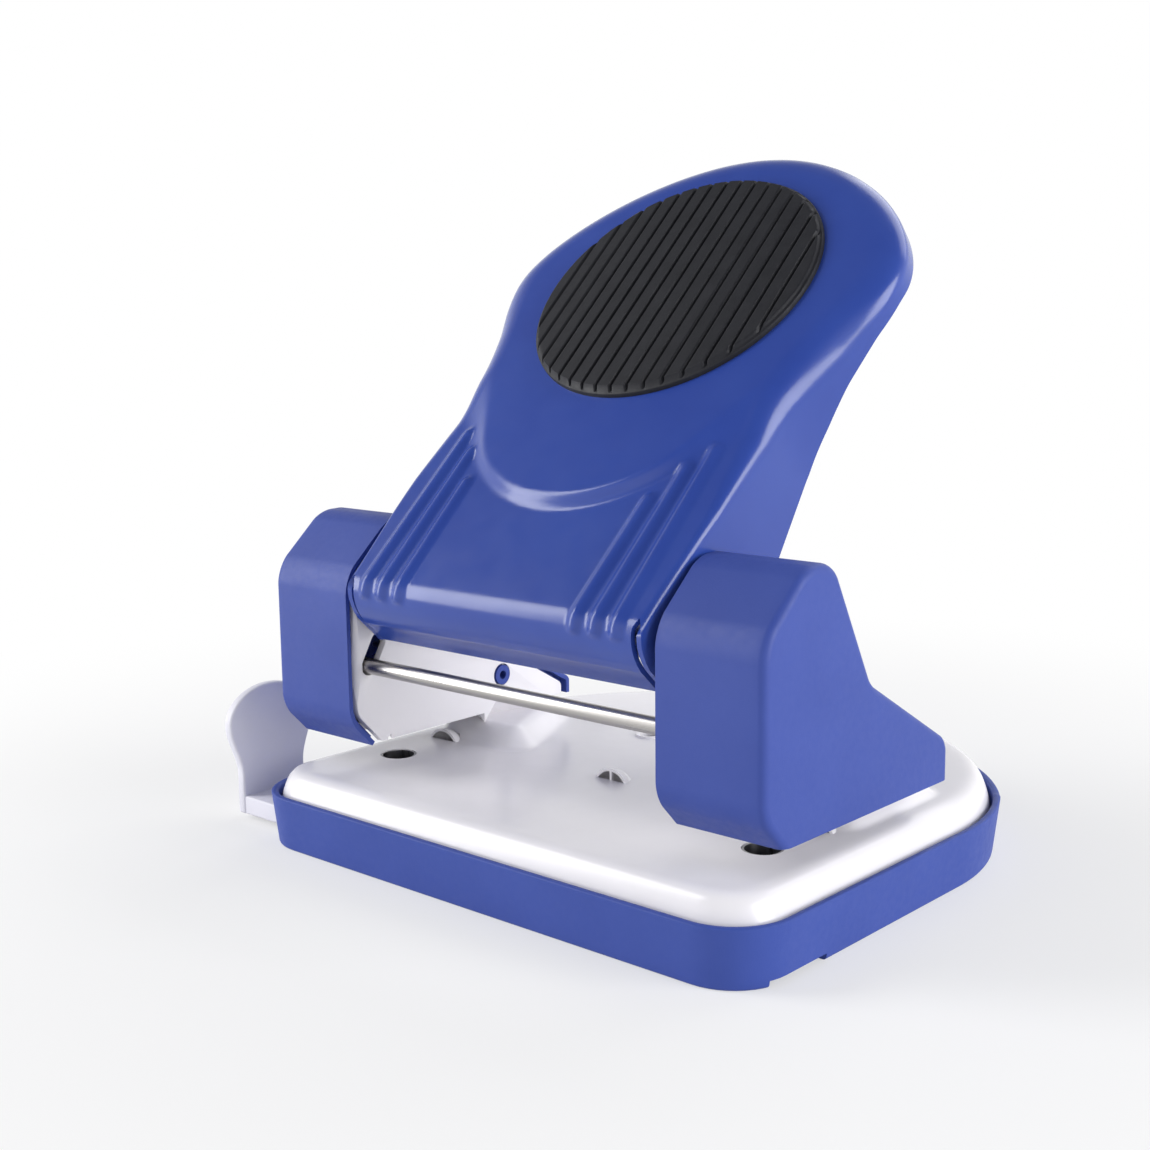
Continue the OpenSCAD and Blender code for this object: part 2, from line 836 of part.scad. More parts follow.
// How far inside the paddle's lower boundary a place on the panel lies
paddle_lean = 44;
function paddle_in(u, v) =
    let (s = abs(u),
        side = [sin(paddle_lean), cos(paddle_lean)],
        q = [s, v - paddle_v])
    q[1] < -s * side[1] / side[0] ? paddle_r - norm(q) : paddle_r - (q[0] * side[0] - q[1] * side[1]);
function lift(u, v) = paddle_h * smooth(paddle_in(u, v) / paddle_step + 0.5);

fold_steps = 4;
across = 18;
rim_rings = fold_steps + 2;

// Ring k of the outer (t = 0) or inner (t = sheet) skin at outline place i
function skin_rim(k, i, t) =
    let (v = outline[i][1],
        r = fold(v),
        a = k == 0 ? 0 : 90 * (k - 1) / fold_steps,
        p = rim_point(i, t + (r - t) * (1 - cos(a))))
    [p[0], p[1], k == 0 ? skirt(v) : (r - t) * sin(a) - r + lift(p[0], p[1])];

// Inside point j of the panel on row i
function skin_fill(i, j, t) =
    let (a = skin_rim(rim_rings - 1, i, t),
        b = skin_rim(rim_rings - 1, rim_n - 1 - i, t),
        q = j / across,
        u = a[0] + (b[0] - a[0]) * q,
        v = a[1])
    [u, v, lift(u, v) - t];

function skin_points(t) = concat(
    [for (k = [0 : rim_rings - 1], i = [0 : rim_n - 1]) skin_rim(k, i, t)],
    [for (i = [0 : half_n - 2], j = [1 : across - 1]) skin_fill(i, j, t)]);
skin_n = rim_rings * rim_n + (half_n - 1) * (across - 1);

// Number of the panel point in row i and column j
function fill_index(i, j) = j == 0 ? (rim_rings - 1) * rim_n + i
    : j == across ? (rim_rings - 1) * rim_n + rim_n - 1 - i
    : rim_rings * rim_n + i * (across - 1) + j - 1;

// Faces of one skin, seen from outside or turned over
function tri(a, b, c, over) = over ? [a, c, b] : [a, b, c];
function skin_faces(o, over) = concat(
    [for (k = [0 : rim_rings - 2], i = [0 : rim_n - 2])
        let (a = o + k * rim_n + i)
        each [tri(a, a + rim_n, a + 1, over), tri(a + 1, a + rim_n, a + rim_n + 1, over)]],
    [for (i = [0 : half_n - 3], j = [0 : across - 1])
        let (a = o + fill_index(i, j),
            b = o + fill_index(i, j + 1),
            c = o + fill_index(i + 1, j),
            d = o + fill_index(i + 1, j + 1))
        each [tri(a, b, c, over), tri(b, d, c, over)]],
    [for (j = [0 : across - 1])
        tri(o + fill_index(half_n - 2, j), o + fill_index(half_n - 2, j + 1),
            o + (rim_rings - 1) * rim_n + half_n - 1, over)]);

// Open edge of a skin: along the lower edge, then back across the front
edge_loop = concat(
    [for (i = [0 : rim_n - 1]) i],
    [for (k = [1 : rim_rings - 1]) k * rim_n + rim_n - 1],
    [for (j = [across - 1 : -1 : 1]) fill_index(0, j)],
    [for (k = [rim_rings - 1 : -1 : 1]) k * rim_n]);
edge_n = len(edge_loop);

module lever_skin() {
    polyhedron(points = concat(skin_points(0), skin_points(lever_t)),
        faces = concat(skin_faces(0, false), skin_faces(skin_n, true),
            [for (i = [0 : edge_n - 1])
                let (a = edge_loop[i],
                    b = edge_loop[(i + 1) % edge_n])
                each [[a, b, a + skin_n], [b, b + skin_n, a + skin_n]]]),
        convexity = 8);
}

// Rolled front of the lever, drawn along the slope and out of the panel
front_outer = concat([[3, -0.1]],
    corner([3, -0.1], [-0.9, -0.1], [-3.5, -6], 3.2),
    corner([-0.9, -0.1], [-3.5, -6], [-3.2, -12.3], 4),
    [[-3.2, -12.3]]);
front_t = 1;
front_end = 30.6;

module lever_front() {
    n = len(front_outer);
    inner = [for (i = [n - 1 : -1 : 0])
        let (a = front_outer[max(0, i - 1)],
            b = front_outer[min(n - 1, i + 1)],
            t = unit(b - a))
        front_outer[i] + front_t * [-t[1], t[0]]];
    slab(-front_end, front_end)
        polygon(concat(front_outer, inner));
}

// Raised rib on the panel, from the front fold up to its round end
rib_list = [[18.6, 19.3, 22], [23, 23.1, 28.5], [27, 26.4, 32.4]];
rib_start = 0.6;

module rib(q) {
    lean = atan2(q[1] - q[0], q[2]);
    intersection() {
        translate([q[0], rib_start, rib_h - rib_r])
            rotate([0, 0, -lean]) {
                rotate([-90, 0, 0])
                    cylinder(r = rib_r, h = q[2] - rib_start, $fn = 48);
                translate([0, q[2] - rib_start, 0])
                    sphere(r = rib_r, $fn = 48);
            }
        translate([0, -rib_r, -lever_t / 2])
            cube([lever_half, lever_len, 2 * rib_r]);
    }
}

boss_r = 5.9;
boss_t = 1.5;
boss_out = 0.4;

module lever_shell() {
    color(blue)
        in_lever()
            difference() {
                union() {
                    lever_skin();
                    lever_front();
                    both_sides()
                        bar_from(lever_half + boss_out - boss_t, lever_half + boss_out, axle_v, axle_h, boss_r);
                    both_sides()
                        for (q = rib_list)
                            rib(q);
                }
                bar_x(axle_v, axle_h, axle_r + run_gap, neck_half);
                bar_x(press_v, press_h, press_r + fix_gap, neck_half);
            }
}

grip_ribs = 17;
grip_fn = 72;

// Oval outline of the grip, moved inward by d
module oval(d) {
    translate([0, grip_v])
        polygon([for (k = [0 : grip_fn - 1])
            [(grip_a - d) * cos(360 * k / grip_fn), (grip_b - d) * sin(360 * k / grip_fn)]]);
}

module lever_grip() {
    bar = grip_pitch - grip_groove;
    edge = 0.5;
    color(black)
        in_lever()
            translate([0, 0, paddle_h]) {
                linear_extrude(grip_t)
                    oval(0);
                intersection() {
                    linear_extrude(2 * grip_t + grip_dome)
                        oval(edge);
                    for (k = [0 : grip_ribs - 1])
                        let (u = (k - (grip_ribs - 1) / 2) * grip_pitch)
                            translate([u - bar / 2, grip_v - grip_b, grip_t / 2])
                                cube([bar, 2 * grip_b,
                                    grip_t + grip_dome * (1 - pow(u / grip_a, 2))]);
                }
            }
}

pin_head_t = 2;
cap_t = 1.1;
tip_r = 8;
// Height of the pins' hollow tips from the middle of the hollow's round
tip_rise = sqrt(tip_r * tip_r - pin_r * pin_r);

module punch_pin(x) {
    color(steel)
        translate([x, hole_y, 0])
            difference() {
                union() {
                    translate([0, 0, pin_tip])
                        cylinder(r = pin_r, h = pin_top - pin_tip - pin_head_t / 2, $fn = 64);
                    translate([0, 0, pin_top - pin_head_t])
                        cylinder(r = pin_head, h = pin_head_t, $fn = 64);
                }
                translate([0, -2 * pin_r, pin_tip - tip_rise])
                    rotate([-90, 0, 0])
                        cylinder(r = tip_r, h = 4 * pin_r, $fn = 96);
            }
}

module left_punch_pin() {
    punch_pin(-hole_x);
}

module right_punch_pin() {
    punch_pin(hole_x);
}

cap_z = pin_top - pin_head_t - cap_t;

module spring_cap(x) {
    color(steel)
        translate([x, hole_y, cap_z])
            difference() {
                cylinder(r = pin_head, h = cap_t, $fn = 64);
                translate([0, 0, -eps])
                    cylinder(r = pin_r + fix_gap, h = cap_t + 2 * eps, $fn = 64);
            }
}

module left_spring_cap() {
    spring_cap(-hole_x);
}

module right_spring_cap() {
    spring_cap(hole_x);
}

wire_sides = 6;
wire_steps = 8;
spring_low = shelf_z + plate;
wire_n = coil_turns * wire_steps;

// Coil of wire from the upper shelf to the spring cap
module spring(x) {
    rise = cap_z - spring_low - 2 * wire_r;
    points = [for (k = [0 : wire_n], i = [0 : wire_sides - 1])
        let (a = 360 * k / wire_steps,
            b = 360 * i / wire_sides,
            r = coil_r + wire_r * cos(b))
        [r * cos(a), r * sin(a), spring_low + wire_r + rise * k / wire_n + wire_r * sin(b)]];
    color(steel)
        translate([x, hole_y, 0])
            polyhedron(points = points, faces = concat(
                [for (f = ring_faces(wire_n + 1, wire_sides)) [f[0], f[1], f[2]]],
                [[for (i = [wire_sides - 1 : -1 : 0]) i]],
                [[for (i = [0 : wire_sides - 1]) wire_n * wire_sides + i]]), convexity = 10);
}

module left_spring() {
    spring(-hole_x);
}

module right_spring() {
    spring(hole_x);
}

module lock_rod() {
    color(steel)
        bar_x(rod_y, rod_z, rod_r, rod_half);
}

chip_tray();
guide_bar();
base_plate();
left_die();
right_die();
left_bracket();
right_bracket();
left_cover();
right_cover();
bracket_rivets();
pivot_axle();
axle_clips();
lever_shell();
lever_grip();
press_bar();
press_bar_clips();
left_punch_pin();
right_punch_pin();
left_spring_cap();
right_spring_cap();
left_spring();
right_spring();
lock_rod();
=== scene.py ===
"""A two-hole punch: painted lever, moulded covers, enamelled base, chip tray and paper guide."""

import math

import bmesh
import bpy
from mathutils import Matrix, Vector


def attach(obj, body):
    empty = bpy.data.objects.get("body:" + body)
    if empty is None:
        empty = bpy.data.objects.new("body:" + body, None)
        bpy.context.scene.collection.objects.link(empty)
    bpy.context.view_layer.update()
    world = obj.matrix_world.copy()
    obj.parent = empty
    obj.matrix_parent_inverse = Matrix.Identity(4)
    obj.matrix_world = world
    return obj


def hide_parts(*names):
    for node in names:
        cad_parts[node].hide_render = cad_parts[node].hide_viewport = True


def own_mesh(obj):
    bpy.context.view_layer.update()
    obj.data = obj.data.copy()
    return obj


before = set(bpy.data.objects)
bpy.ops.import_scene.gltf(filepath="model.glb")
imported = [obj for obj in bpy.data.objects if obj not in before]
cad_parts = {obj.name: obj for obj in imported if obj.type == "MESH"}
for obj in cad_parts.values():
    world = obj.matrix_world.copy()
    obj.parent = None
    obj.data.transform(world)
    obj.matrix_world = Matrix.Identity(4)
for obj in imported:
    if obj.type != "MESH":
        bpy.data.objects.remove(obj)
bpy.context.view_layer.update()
scene = bpy.context.scene

# Shapes are drawn in millimetres and brought to metres when a piece is done
MM = 0.001
TINY = 0.0005


def clamp(x):
    return min(1.0, max(0.0, x))


def ease(x):
    x = clamp(x)
    return x * x * (3 - 2 * x)


def mix(a, b, t):
    return a + (b - a) * t


def bezier(p, t):
    s = 1 - t
    weights = (s**3, 3 * t * s * s, 3 * t * t * s, t**3)
    return tuple(sum(w * q[i] for w, q in zip(weights, p)) for i in (0, 1))


# Materials


class Finish:
    """One procedural material on the piece's own coordinates."""

    def __init__(self, name):
        self.material = bpy.data.materials.new(name)
        self.material.use_nodes = True
        self.nodes = self.material.node_tree.nodes
        self.links = self.material.node_tree.links
        self.shader = self.nodes["Principled BSDF"]
        self.place = self.nodes.new("ShaderNodeTexCoord").outputs["Object"]

    def noise(self, scale, detail=2.0, stretch=None):
        node = self.nodes.new("ShaderNodeTexNoise")
        node.inputs["Scale"].default_value = scale
        node.inputs["Detail"].default_value = detail
        place = self.place
        if stretch:
            mapping = self.nodes.new("ShaderNodeMapping")
            mapping.inputs["Scale"].default_value = stretch
            self.links.new(place, mapping.inputs["Vector"])
            place = mapping.outputs["Vector"]
        self.links.new(place, node.inputs["Vector"])
        return node.outputs["Fac"]

    def spread(self, value, low, high):
        node = self.nodes.new("ShaderNodeMapRange")
        node.inputs["From Min"].default_value = 0.3
        node.inputs["From Max"].default_value = 0.7
        node.inputs["To Min"].default_value = low
        node.inputs["To Max"].default_value = high
        self.links.new(value, node.inputs["Value"])
        return node.outputs["Result"]

    def colour(self, deep, light, scale, stretch=None):
        node = self.nodes.new("ShaderNodeMix")
        node.data_type = "RGBA"
        node.inputs["A"].default_value = (*deep, 1)
        node.inputs["B"].default_value = (*light, 1)
        self.links.new(self.spread(self.noise(scale, 3.0, stretch), 0, 1), node.inputs["Factor"])
        self.links.new(node.outputs["Result"], self.shader.inputs["Base Color"])

    def roughness(self, low, high, scale, stretch=None):
        value = self.spread(self.noise(scale, 3.0, stretch), low, high)
        self.links.new(value, self.shader.inputs["Roughness"])

    def bump(self, scale, depth, strength=1.0, detail=2.0, stretch=None):
        node = self.nodes.new("ShaderNodeBump")
        node.inputs["Strength"].default_value = strength
        node.inputs["Distance"].default_value = depth
        self.links.new(self.noise(scale, detail, stretch), node.inputs["Height"])
        if self.shader.inputs["Normal"].is_linked:
            before = self.shader.inputs["Normal"].links[0].from_socket
            self.links.new(before, node.inputs["Normal"])
        self.links.new(node.outputs["Normal"], self.shader.inputs["Normal"])

    def set(self, **values):
        for name, value in values.items():
            self.shader.inputs[name.replace("_", " ")].default_value = value


def paint(r, g, b):
    """A colour as a screen shows it, brought to the renderer's linear scale."""
    return tuple((c / 255 / 12.92) if c < 10.3 else ((c / 255 + 0.055) / 1.055) ** 2.4 for c in (r, g, b))


def enamelled_steel(name, deep, light):
    finish = Finish(name)
    finish.colour(deep, light, 55)
    finish.roughness(0.19, 0.25, 260)
    finish.bump(300, 0.00003, 0.3)
    return finish.material


def moulded_plastic(name, deep, light, rough):
    finish = Finish(name)
    finish.colour(deep, light, 70)
    finish.roughness(rough - 0.05, rough + 0.05, 900)
    finish.bump(4200, 0.00003, 0.55, 4.0)
    finish.bump(160, 0.00003, 0.25)
    finish.set(Specular_IOR_Level=0.3)
    return finish.material


def ground_steel(name, deep, light, low, high, stretch):
    finish = Finish(name)
    finish.colour(deep, light, 400, stretch)
    finish.roughness(low, high, 900, stretch)
    finish.bump(1600, 0.00001, 0.5, 3.0, stretch)
    finish.set(Metallic=1.0)
    return finish.material


def ribbed_rubber(name, deep, light):
    finish = Finish(name)
    finish.colour(deep, light, 240)
    finish.roughness(0.46, 0.6, 700)
    finish.bump(5200, 0.00004, 0.6, 4.0)
    finish.set(Specular_IOR_Level=0.3)
    return finish.material


ALONG_X = (0.04, 1.0, 1.0)
UPRIGHT = (1.0, 1.0, 0.06)
FINISHES = {
    "lever_blue": enamelled_steel("lever_blue", paint(44, 68, 151), paint(49, 74, 157)),
    "cover_blue": moulded_plastic("cover_blue", paint(54, 73, 150), paint(59, 78, 156), 0.5),
    "tray_blue": moulded_plastic("tray_blue", paint(54, 75, 154), paint(59, 80, 160), 0.55),
    "enamel_white": enamelled_steel("enamel_white", paint(232, 230, 234), paint(237, 235, 239)),
    "guide_pale": moulded_plastic("guide_pale", paint(216, 215, 226), paint(224, 223, 232), 0.45),
    "grip_black": ribbed_rubber("grip_black", paint(25, 26, 32), paint(32, 33, 39)),
    "bright_steel": ground_steel(
        "bright_steel", paint(168, 165, 163), paint(190, 187, 184), 0.24, 0.34, ALONG_X
    ),
    "tool_steel": ground_steel(
        "tool_steel", paint(128, 128, 132), paint(160, 160, 164), 0.25, 0.4, UPRIGHT
    ),
}


# Making and finishing pieces


def mesh_object(bm, name):
    bmesh.ops.scale(bm, vec=(MM, MM, MM), verts=bm.verts)
    mesh = bpy.data.meshes.new(name)
    bm.to_mesh(mesh)
    bm.free()
    made = bpy.data.objects.new(name, mesh)
    scene.collection.objects.link(made)
    return made


def carve(made, bm, operation="DIFFERENCE", solver="EXACT"):
    """Cuts a drawn shape out of a piece, or joins it on."""
    cutter = mesh_object(bm, "cutter")
    step = made.modifiers.new("carve", "BOOLEAN")
    step.operation = operation
    step.solver = solver
    step.object = cutter
    depsgraph = bpy.context.evaluated_depsgraph_get()
    old = made.data
    made.data = bpy.data.meshes.new_from_object(made.evaluated_get(depsgraph))
    made.modifiers.clear()
    cut = cutter.data
    bpy.data.objects.remove(cutter)
    bpy.data.meshes.remove(cut)
    bpy.data.meshes.remove(old)
    made.data.name = made.name


def finish_piece(made, body, slot, *nodes, sharp=38.0):
    """Shading, material, body and slot of a piece, and the nodes it stands for."""
    made.data.shade_smooth()
    made.data.set_sharp_from_angle(angle=math.radians(sharp))
    made.data.materials.clear()
    made.data.materials.append(FINISHES[slot])
    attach(made, body)
    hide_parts(*nodes)
    return made


def grow(bm, edges, place):
    """Pulls a loop of edges out to a new loop, whose places come from the old vertices."""
    made = bmesh.ops.extrude_edge_only(bm, edges=edges)["geom"]
    fresh = {g for g in made if isinstance(g, bmesh.types.BMVert)}
    loop = []
    for edge in (g for g in made if isinstance(g, bmesh.types.BMEdge)):
        a, b = edge.verts
        if a in fresh and b in fresh:
            loop.append(edge)
    for vert in fresh:
        vert.co = place(vert)
    return loop


def rim_of(bm):
    return [e for e in bm.edges if e.is_boundary]


def thicken(bm, inward):
    """Gives an open skin its sheet thickness on the inside."""
    bmesh.ops.solidify(bm, geom=bm.faces[:], thickness=inward)


def soften(bm, edges, width, segments=2):
    bmesh.ops.bevel(
        bm, geom=edges, offset=width, offset_type="OFFSET", segments=segments, profile=0.5,
        affect="EDGES", material=-1, clamp_overlap=True,
    )


def creases(bm, degrees):
    limit = math.radians(degrees)
    return [e for e in bm.edges if len(e.link_faces) == 2 and e.calc_face_angle() > limit]


def face_up(bm):
    """Turns a skin so that its broad side points up."""
    bmesh.ops.recalc_face_normals(bm, faces=bm.faces)
    if sum(f.normal.z * f.calc_area() for f in bm.faces) < 0:
        bmesh.ops.reverse_faces(bm, faces=bm.faces)


def round_corners(bm, places, make_place, steps=8):
    """A flat face with rounded corners, from places given as two coordinates and a radius."""
    verts = [bm.verts.new(make_place(p[0], p[1])) for p in places]
    bm.faces.new(verts)
    reach = []
    for i, p in enumerate(places):
        here = Vector(p[:2])
        to_a = Vector(places[i - 1][:2]) - here
        to_b = Vector(places[(i + 1) % len(places)][:2]) - here
        reach.append(p[2] / math.tan(to_a.angle(to_b) / 2))
    for vert, offset in zip(verts, reach):
        if offset > 0:
            bmesh.ops.bevel(
                bm, geom=[vert], offset=offset, offset_type="OFFSET", segments=steps,
                profile=0.5, affect="VERTICES", material=-1, clamp_overlap=False,
            )


def rod(bm, radius, x0, x1, y, z, segments=48):
    """A round bar along X."""
    place = Matrix.Translation(((x0 + x1) / 2, y, z)) @ Matrix.Rotation(math.pi / 2, 4, "Y")
    return bmesh.ops.create_cone(
        bm, cap_ends=True, segments=segments, radius1=radius, radius2=radius,
        depth=x1 - x0, matrix=place,
    )["verts"]


def post(bm, radius, x, y, z0, z1, segments=48):
    """A round bar along Z."""
    return bmesh.ops.create_cone(
        bm, cap_ends=True, segments=segments, radius1=radius, radius2=radius,
        depth=z1 - z0, matrix=Matrix.Translation((x, y, (z0 + z1) / 2)),
    )["verts"]


def turned(bm, profile, x, y, closed=False, steps=48):
    """A ring turned about an upright axis, from radii and heights."""
    verts = [bm.verts.new((x + r, y, z)) for r, z in profile]
    for a, b in zip(verts, verts[1:] + (verts[:1] if closed else [])):
        bm.edges.new((a, b))
    bmesh.ops.spin(
        bm, geom=bm.verts[:] + bm.edges[:], cent=(x, y, 0), axis=(0, 0, 1), dvec=(0, 0, 0),
        angle=2 * math.pi, steps=steps, use_merge=True,
    )
    bmesh.ops.recalc_face_normals(bm, faces=bm.faces)


def block(bm, x0, x1, y0, y1, z0, z1):
    place = Matrix.Translation(((x0 + x1) / 2, (y0 + y1) / 2, (z0 + z1) / 2))
    size = Matrix.Diagonal((x1 - x0, y1 - y0, z1 - z0, 1))
    return bmesh.ops.create_cube(bm, size=1, matrix=place @ size)["verts"]


# Lever: a pressed sheet with a rolled front, raised ribs and a raised paddle

LEVER_AT = Matrix.Translation((0, -33.4, 48.6)) @ Matrix.Rotation(math.radians(43.3), 4, "X")
LEVER_T = 0.9
LEVER_HALF, NECK_HALF, HEAD_HALF = 31.4, 32.8, 40.4
NECK_V, FLARE_V, WIDEST_V, LEVER_LEN = 38.0, 22.0, 70.4, 101.3
SIDE_CURVE = ((NECK_HALF, NECK_V), (32.6, 50), (HEAD_HALF, 60.4), (HEAD_HALF, WIDEST_V))
TIP_CURVE = ((HEAD_HALF, WIDEST_V), (HEAD_HALF, 81.9), (21.8, LEVER_LEN), (0, LEVER_LEN))
NECK_SHARE, SIDE_SHARE = 0.46, 0.7
FOLD_R, HEAD_FOLD, FOLD_DROP = 1.1, 5.6, 0.8
PADDLE_H, PADDLE_STEP, PADDLE_SOFT, PADDLE_R, PADDLE_V = 1.5, 2.2, 7.0, 27.5, 46.75
PADDLE_LEAN = math.radians(53.9)
SKIRT = ((0, -12.6), (2.5, -12.6), (4, -13.6), (8, -22), (30, -16.5), (41, -13.8), (49, -10.8),
         (55.7, -7.7), (63.4, -5.1), (69, -4.1), (110, -4.1))
RIBS = ((18.9, 19.5, 22), (22.9, 23.1, 28.5), (26.9, 26.5, 32.4))
RIB_H, RIB_W = 0.7, 1.75
SEAM, NOSE_REACH, SLIT, SLIT_FROM, FRONT_ROW = 0.25, 5.0, 0.6, 28.4, 0.3
FOLD_RINGS, DROP_RINGS = 9, 9

# Profile of the rolled front, along the lever and up from its panel
FRONT_V, ROLL_V, ROLL_H, ROLL_TURN, ROLL_STEPS = 0.8, 4.67, 7.2, math.radians(86), 20
FRONT_PATH = [Vector((FRONT_V - ROLL_V * math.sin(ROLL_TURN * k / ROLL_STEPS),
                      ROLL_H * (math.cos(ROLL_TURN * k / ROLL_STEPS) - 1))) for k in range(ROLL_STEPS + 1)]
FRONT_PATH += [Vector(q) for q in ((-3.88, -7.0), (-3.8, -7.3), (-3.7, -9), (-3.6, -10.6), (-3.55, -11.8))]
RIB_END = (1.2, 0.9)


def lever_edge(p):
    """Right edge of the lever from the front, 0, to the tip, 1."""
    if p < NECK_SHARE:
        v = mix(FRONT_V, NECK_V, p / NECK_SHARE)
        return Vector((mix(LEVER_HALF, NECK_HALF, min(1, v / FLARE_V)), v))
    if p < SIDE_SHARE:
        return Vector(bezier(SIDE_CURVE, (p - NECK_SHARE) / (SIDE_SHARE - NECK_SHARE)))
    return Vector(bezier(TIP_CURVE, (p - SIDE_SHARE) / (1 - SIDE_SHARE)))


def lever_out(p):
    """Outward direction of that edge."""
    step = 0.002
    if p >= 1:
        return Vector((0, 1))
    t = lever_edge(min(1, p + step)) - lever_edge(max(0, p - step))
    return Vector((t.y, -t.x)).normalized()


def fold(v):
    return mix(FOLD_R, HEAD_FOLD, ease((v - 12) / 48))


def skirt(v):
    for (v0, h0), (v1, h1) in zip(SKIRT, SKIRT[1:]):
        if v <= v1:
            return mix(h0, h1, (v - v0) / (v1 - v0))
    return SKIRT[-1][1]


def lift(u, v):
    """Rise of the paddle at a place of the panel."""
    s, w = abs(u), v - PADDLE_V
    side = Vector((math.sin(PADDLE_LEAN), math.cos(PADDLE_LEAN)))
    if w < -s * side.y / side.x:
        inside = PADDLE_R - math.hypot(s, w)
    else:
        inside = PADDLE_R - (s * side.x - w * side.y)
    step = mix(PADDLE_STEP, PADDLE_SOFT, ease((s - 16) / 14))
    return PADDLE_H * ease(inside / step + 0.5)


def rib_rise(u, v):
    """Rise of the ribs at a place of the panel."""
    rise = 0.0
    for near, far, top in RIBS:
        aside = abs(u) - mix(near, far, v / top)
        reach = math.hypot(aside, max(0, v - top)) / RIB_W
        rise += RIB_H * (0.5 + 0.5 * math.cos(math.pi * min(1, reach)))
    return rise


def side_ring(k, v):
    """Place of ring k of the side's fold: out from the panel, and height."""
    r, low = fold(v), skirt(v)
    deep = min(r, -low * FOLD_DROP)
    if k <= FOLD_RINGS:
        a = math.pi / 2 * k / FOLD_RINGS
        return Vector((r * math.sin(a), deep * (math.cos(a) - 1)))
    return Vector((r, mix(-deep, low, (k - FOLD_RINGS) / DROP_RINGS)))


def nose(h):
    """How far the rolled front stands out at a height, less the seam beside it."""
    for p, q in zip(FRONT_PATH, FRONT_PATH[1:]):
        if q.y <= h < p.y:
            return FRONT_V - mix(p.x, q.x, (p.y - h) / (p.y - q.y)) - SEAM
    return 0 if h >= 0 else FRONT_V - FRONT_PATH[-1].x - SEAM


def lever_skin():
    bm = bmesh.new()
    bmesh.ops.create_grid(bm, x_segments=148, y_segments=132, size=1)
    out_u, out_v, base_u, base_v = (
        bm.verts.layers.float.new(n) for n in ("out_u", "out_v", "base_u", "base_v")
    )
    for vert in bm.verts:
        x, p = vert.co.x, (vert.co.y + 1) / 2
        edge, out = lever_edge(p), lever_out(p)
        edge = edge - out * fold(edge.y)
        u, v, side = max(0, edge.x) * abs(x), edge.y, math.copysign(1, x)
        vert[out_u], vert[out_v], vert[base_u], vert[base_v] = out.x * side, out.y, u * side, v
        vert.co = (u * side, v, lift(u, v) + rib_rise(u, v))
    bmesh.ops.remove_doubles(bm, verts=bm.verts, dist=TINY)
    rim = rim_of(bm)
    front = [e for e in rim if all(v[base_v] < FRONT_V + FRONT_ROW for v in e.verts)]
    sides = [e for e in rim if e not in set(front)]
    for k, (before, here) in enumerate(zip(FRONT_PATH, FRONT_PATH[1:])):
        way = (here - before).normalized()
        fade = 1 - ease((-here.y - RIB_END[0]) / RIB_END[1])
        slit = SLIT * ease((k + 1) / 5)

        def roll(vert, here=here, way=way, fade=fade, slit=slit):
            u = vert[base_u]
            spot = here + Vector((way.y, -way.x)) * rib_rise(u, FRONT_V) * fade
            half = LEVER_HALF - FOLD_R
            u -= math.copysign(slit * clamp((abs(u) - SLIT_FROM) / (half - SLIT_FROM)), u)
            return (u, spot.x, spot.y)

        front = grow(bm, front, roll)
    for k in range(1, FOLD_RINGS + DROP_RINGS + 1):
        drop = max(0, k - FOLD_RINGS) / DROP_RINGS

        def turn_down(vert, k=k, drop=drop):
            u, v = vert[base_u], vert[base_v]
            reach = side_ring(k, v)
            ahead = nose(reach.y) * (1 - ease((v - FRONT_V) / NOSE_REACH))
            return (u + vert[out_u] * reach.x, v + vert[out_v] * reach.x - ahead,
                    reach.y + (lift(u, v) + rib_rise(u, v)) * (1 - drop))

        sides = grow(bm, sides, turn_down)
    face_up(bm)
    return bm


def lever():
    bm = lever_skin()
    thicken(bm, LEVER_T)
    bmesh.ops.transform(bm, matrix=LEVER_AT, verts=bm.verts)
    made = mesh_object(bm, "lever")
    return finish_piece(made, "lever", "lever_blue", "lever_shell", sharp=50)


# Rubber pad on the paddle: an oval with lengthwise ribs

GRIP_A, GRIP_B, GRIP_V, GRIP_T, GRIP_DOME = 27.0, 25.7, 66.5, 0.9, 0.5
GRIP_PITCH, GRIP_GROOVE, GRIP_RIBS = 3.15, 0.6, 17
GRIP_EDGE = 0.35
GRIP_REACH = GRIP_A - GRIP_EDGE


def grip_height(u, w):
    """Height of the pad's ribs at a place of its oval."""
    turn = u / GRIP_PITCH
    off = abs(turn - round(turn)) * GRIP_PITCH
    half = (GRIP_PITCH - GRIP_GROOVE) / 2
    crest = 1 - ease((off - half + 0.1) / 0.28)
    if abs(turn) > GRIP_RIBS / 2:
        crest = 0
    inset = (1 - math.hypot(u / GRIP_A, w / GRIP_B)) * GRIP_A
    crest *= ease((inset - 0.35) / 0.5)
    return GRIP_T + crest * (GRIP_T / 2 + GRIP_DOME * (1 - (u / GRIP_A) ** 2))


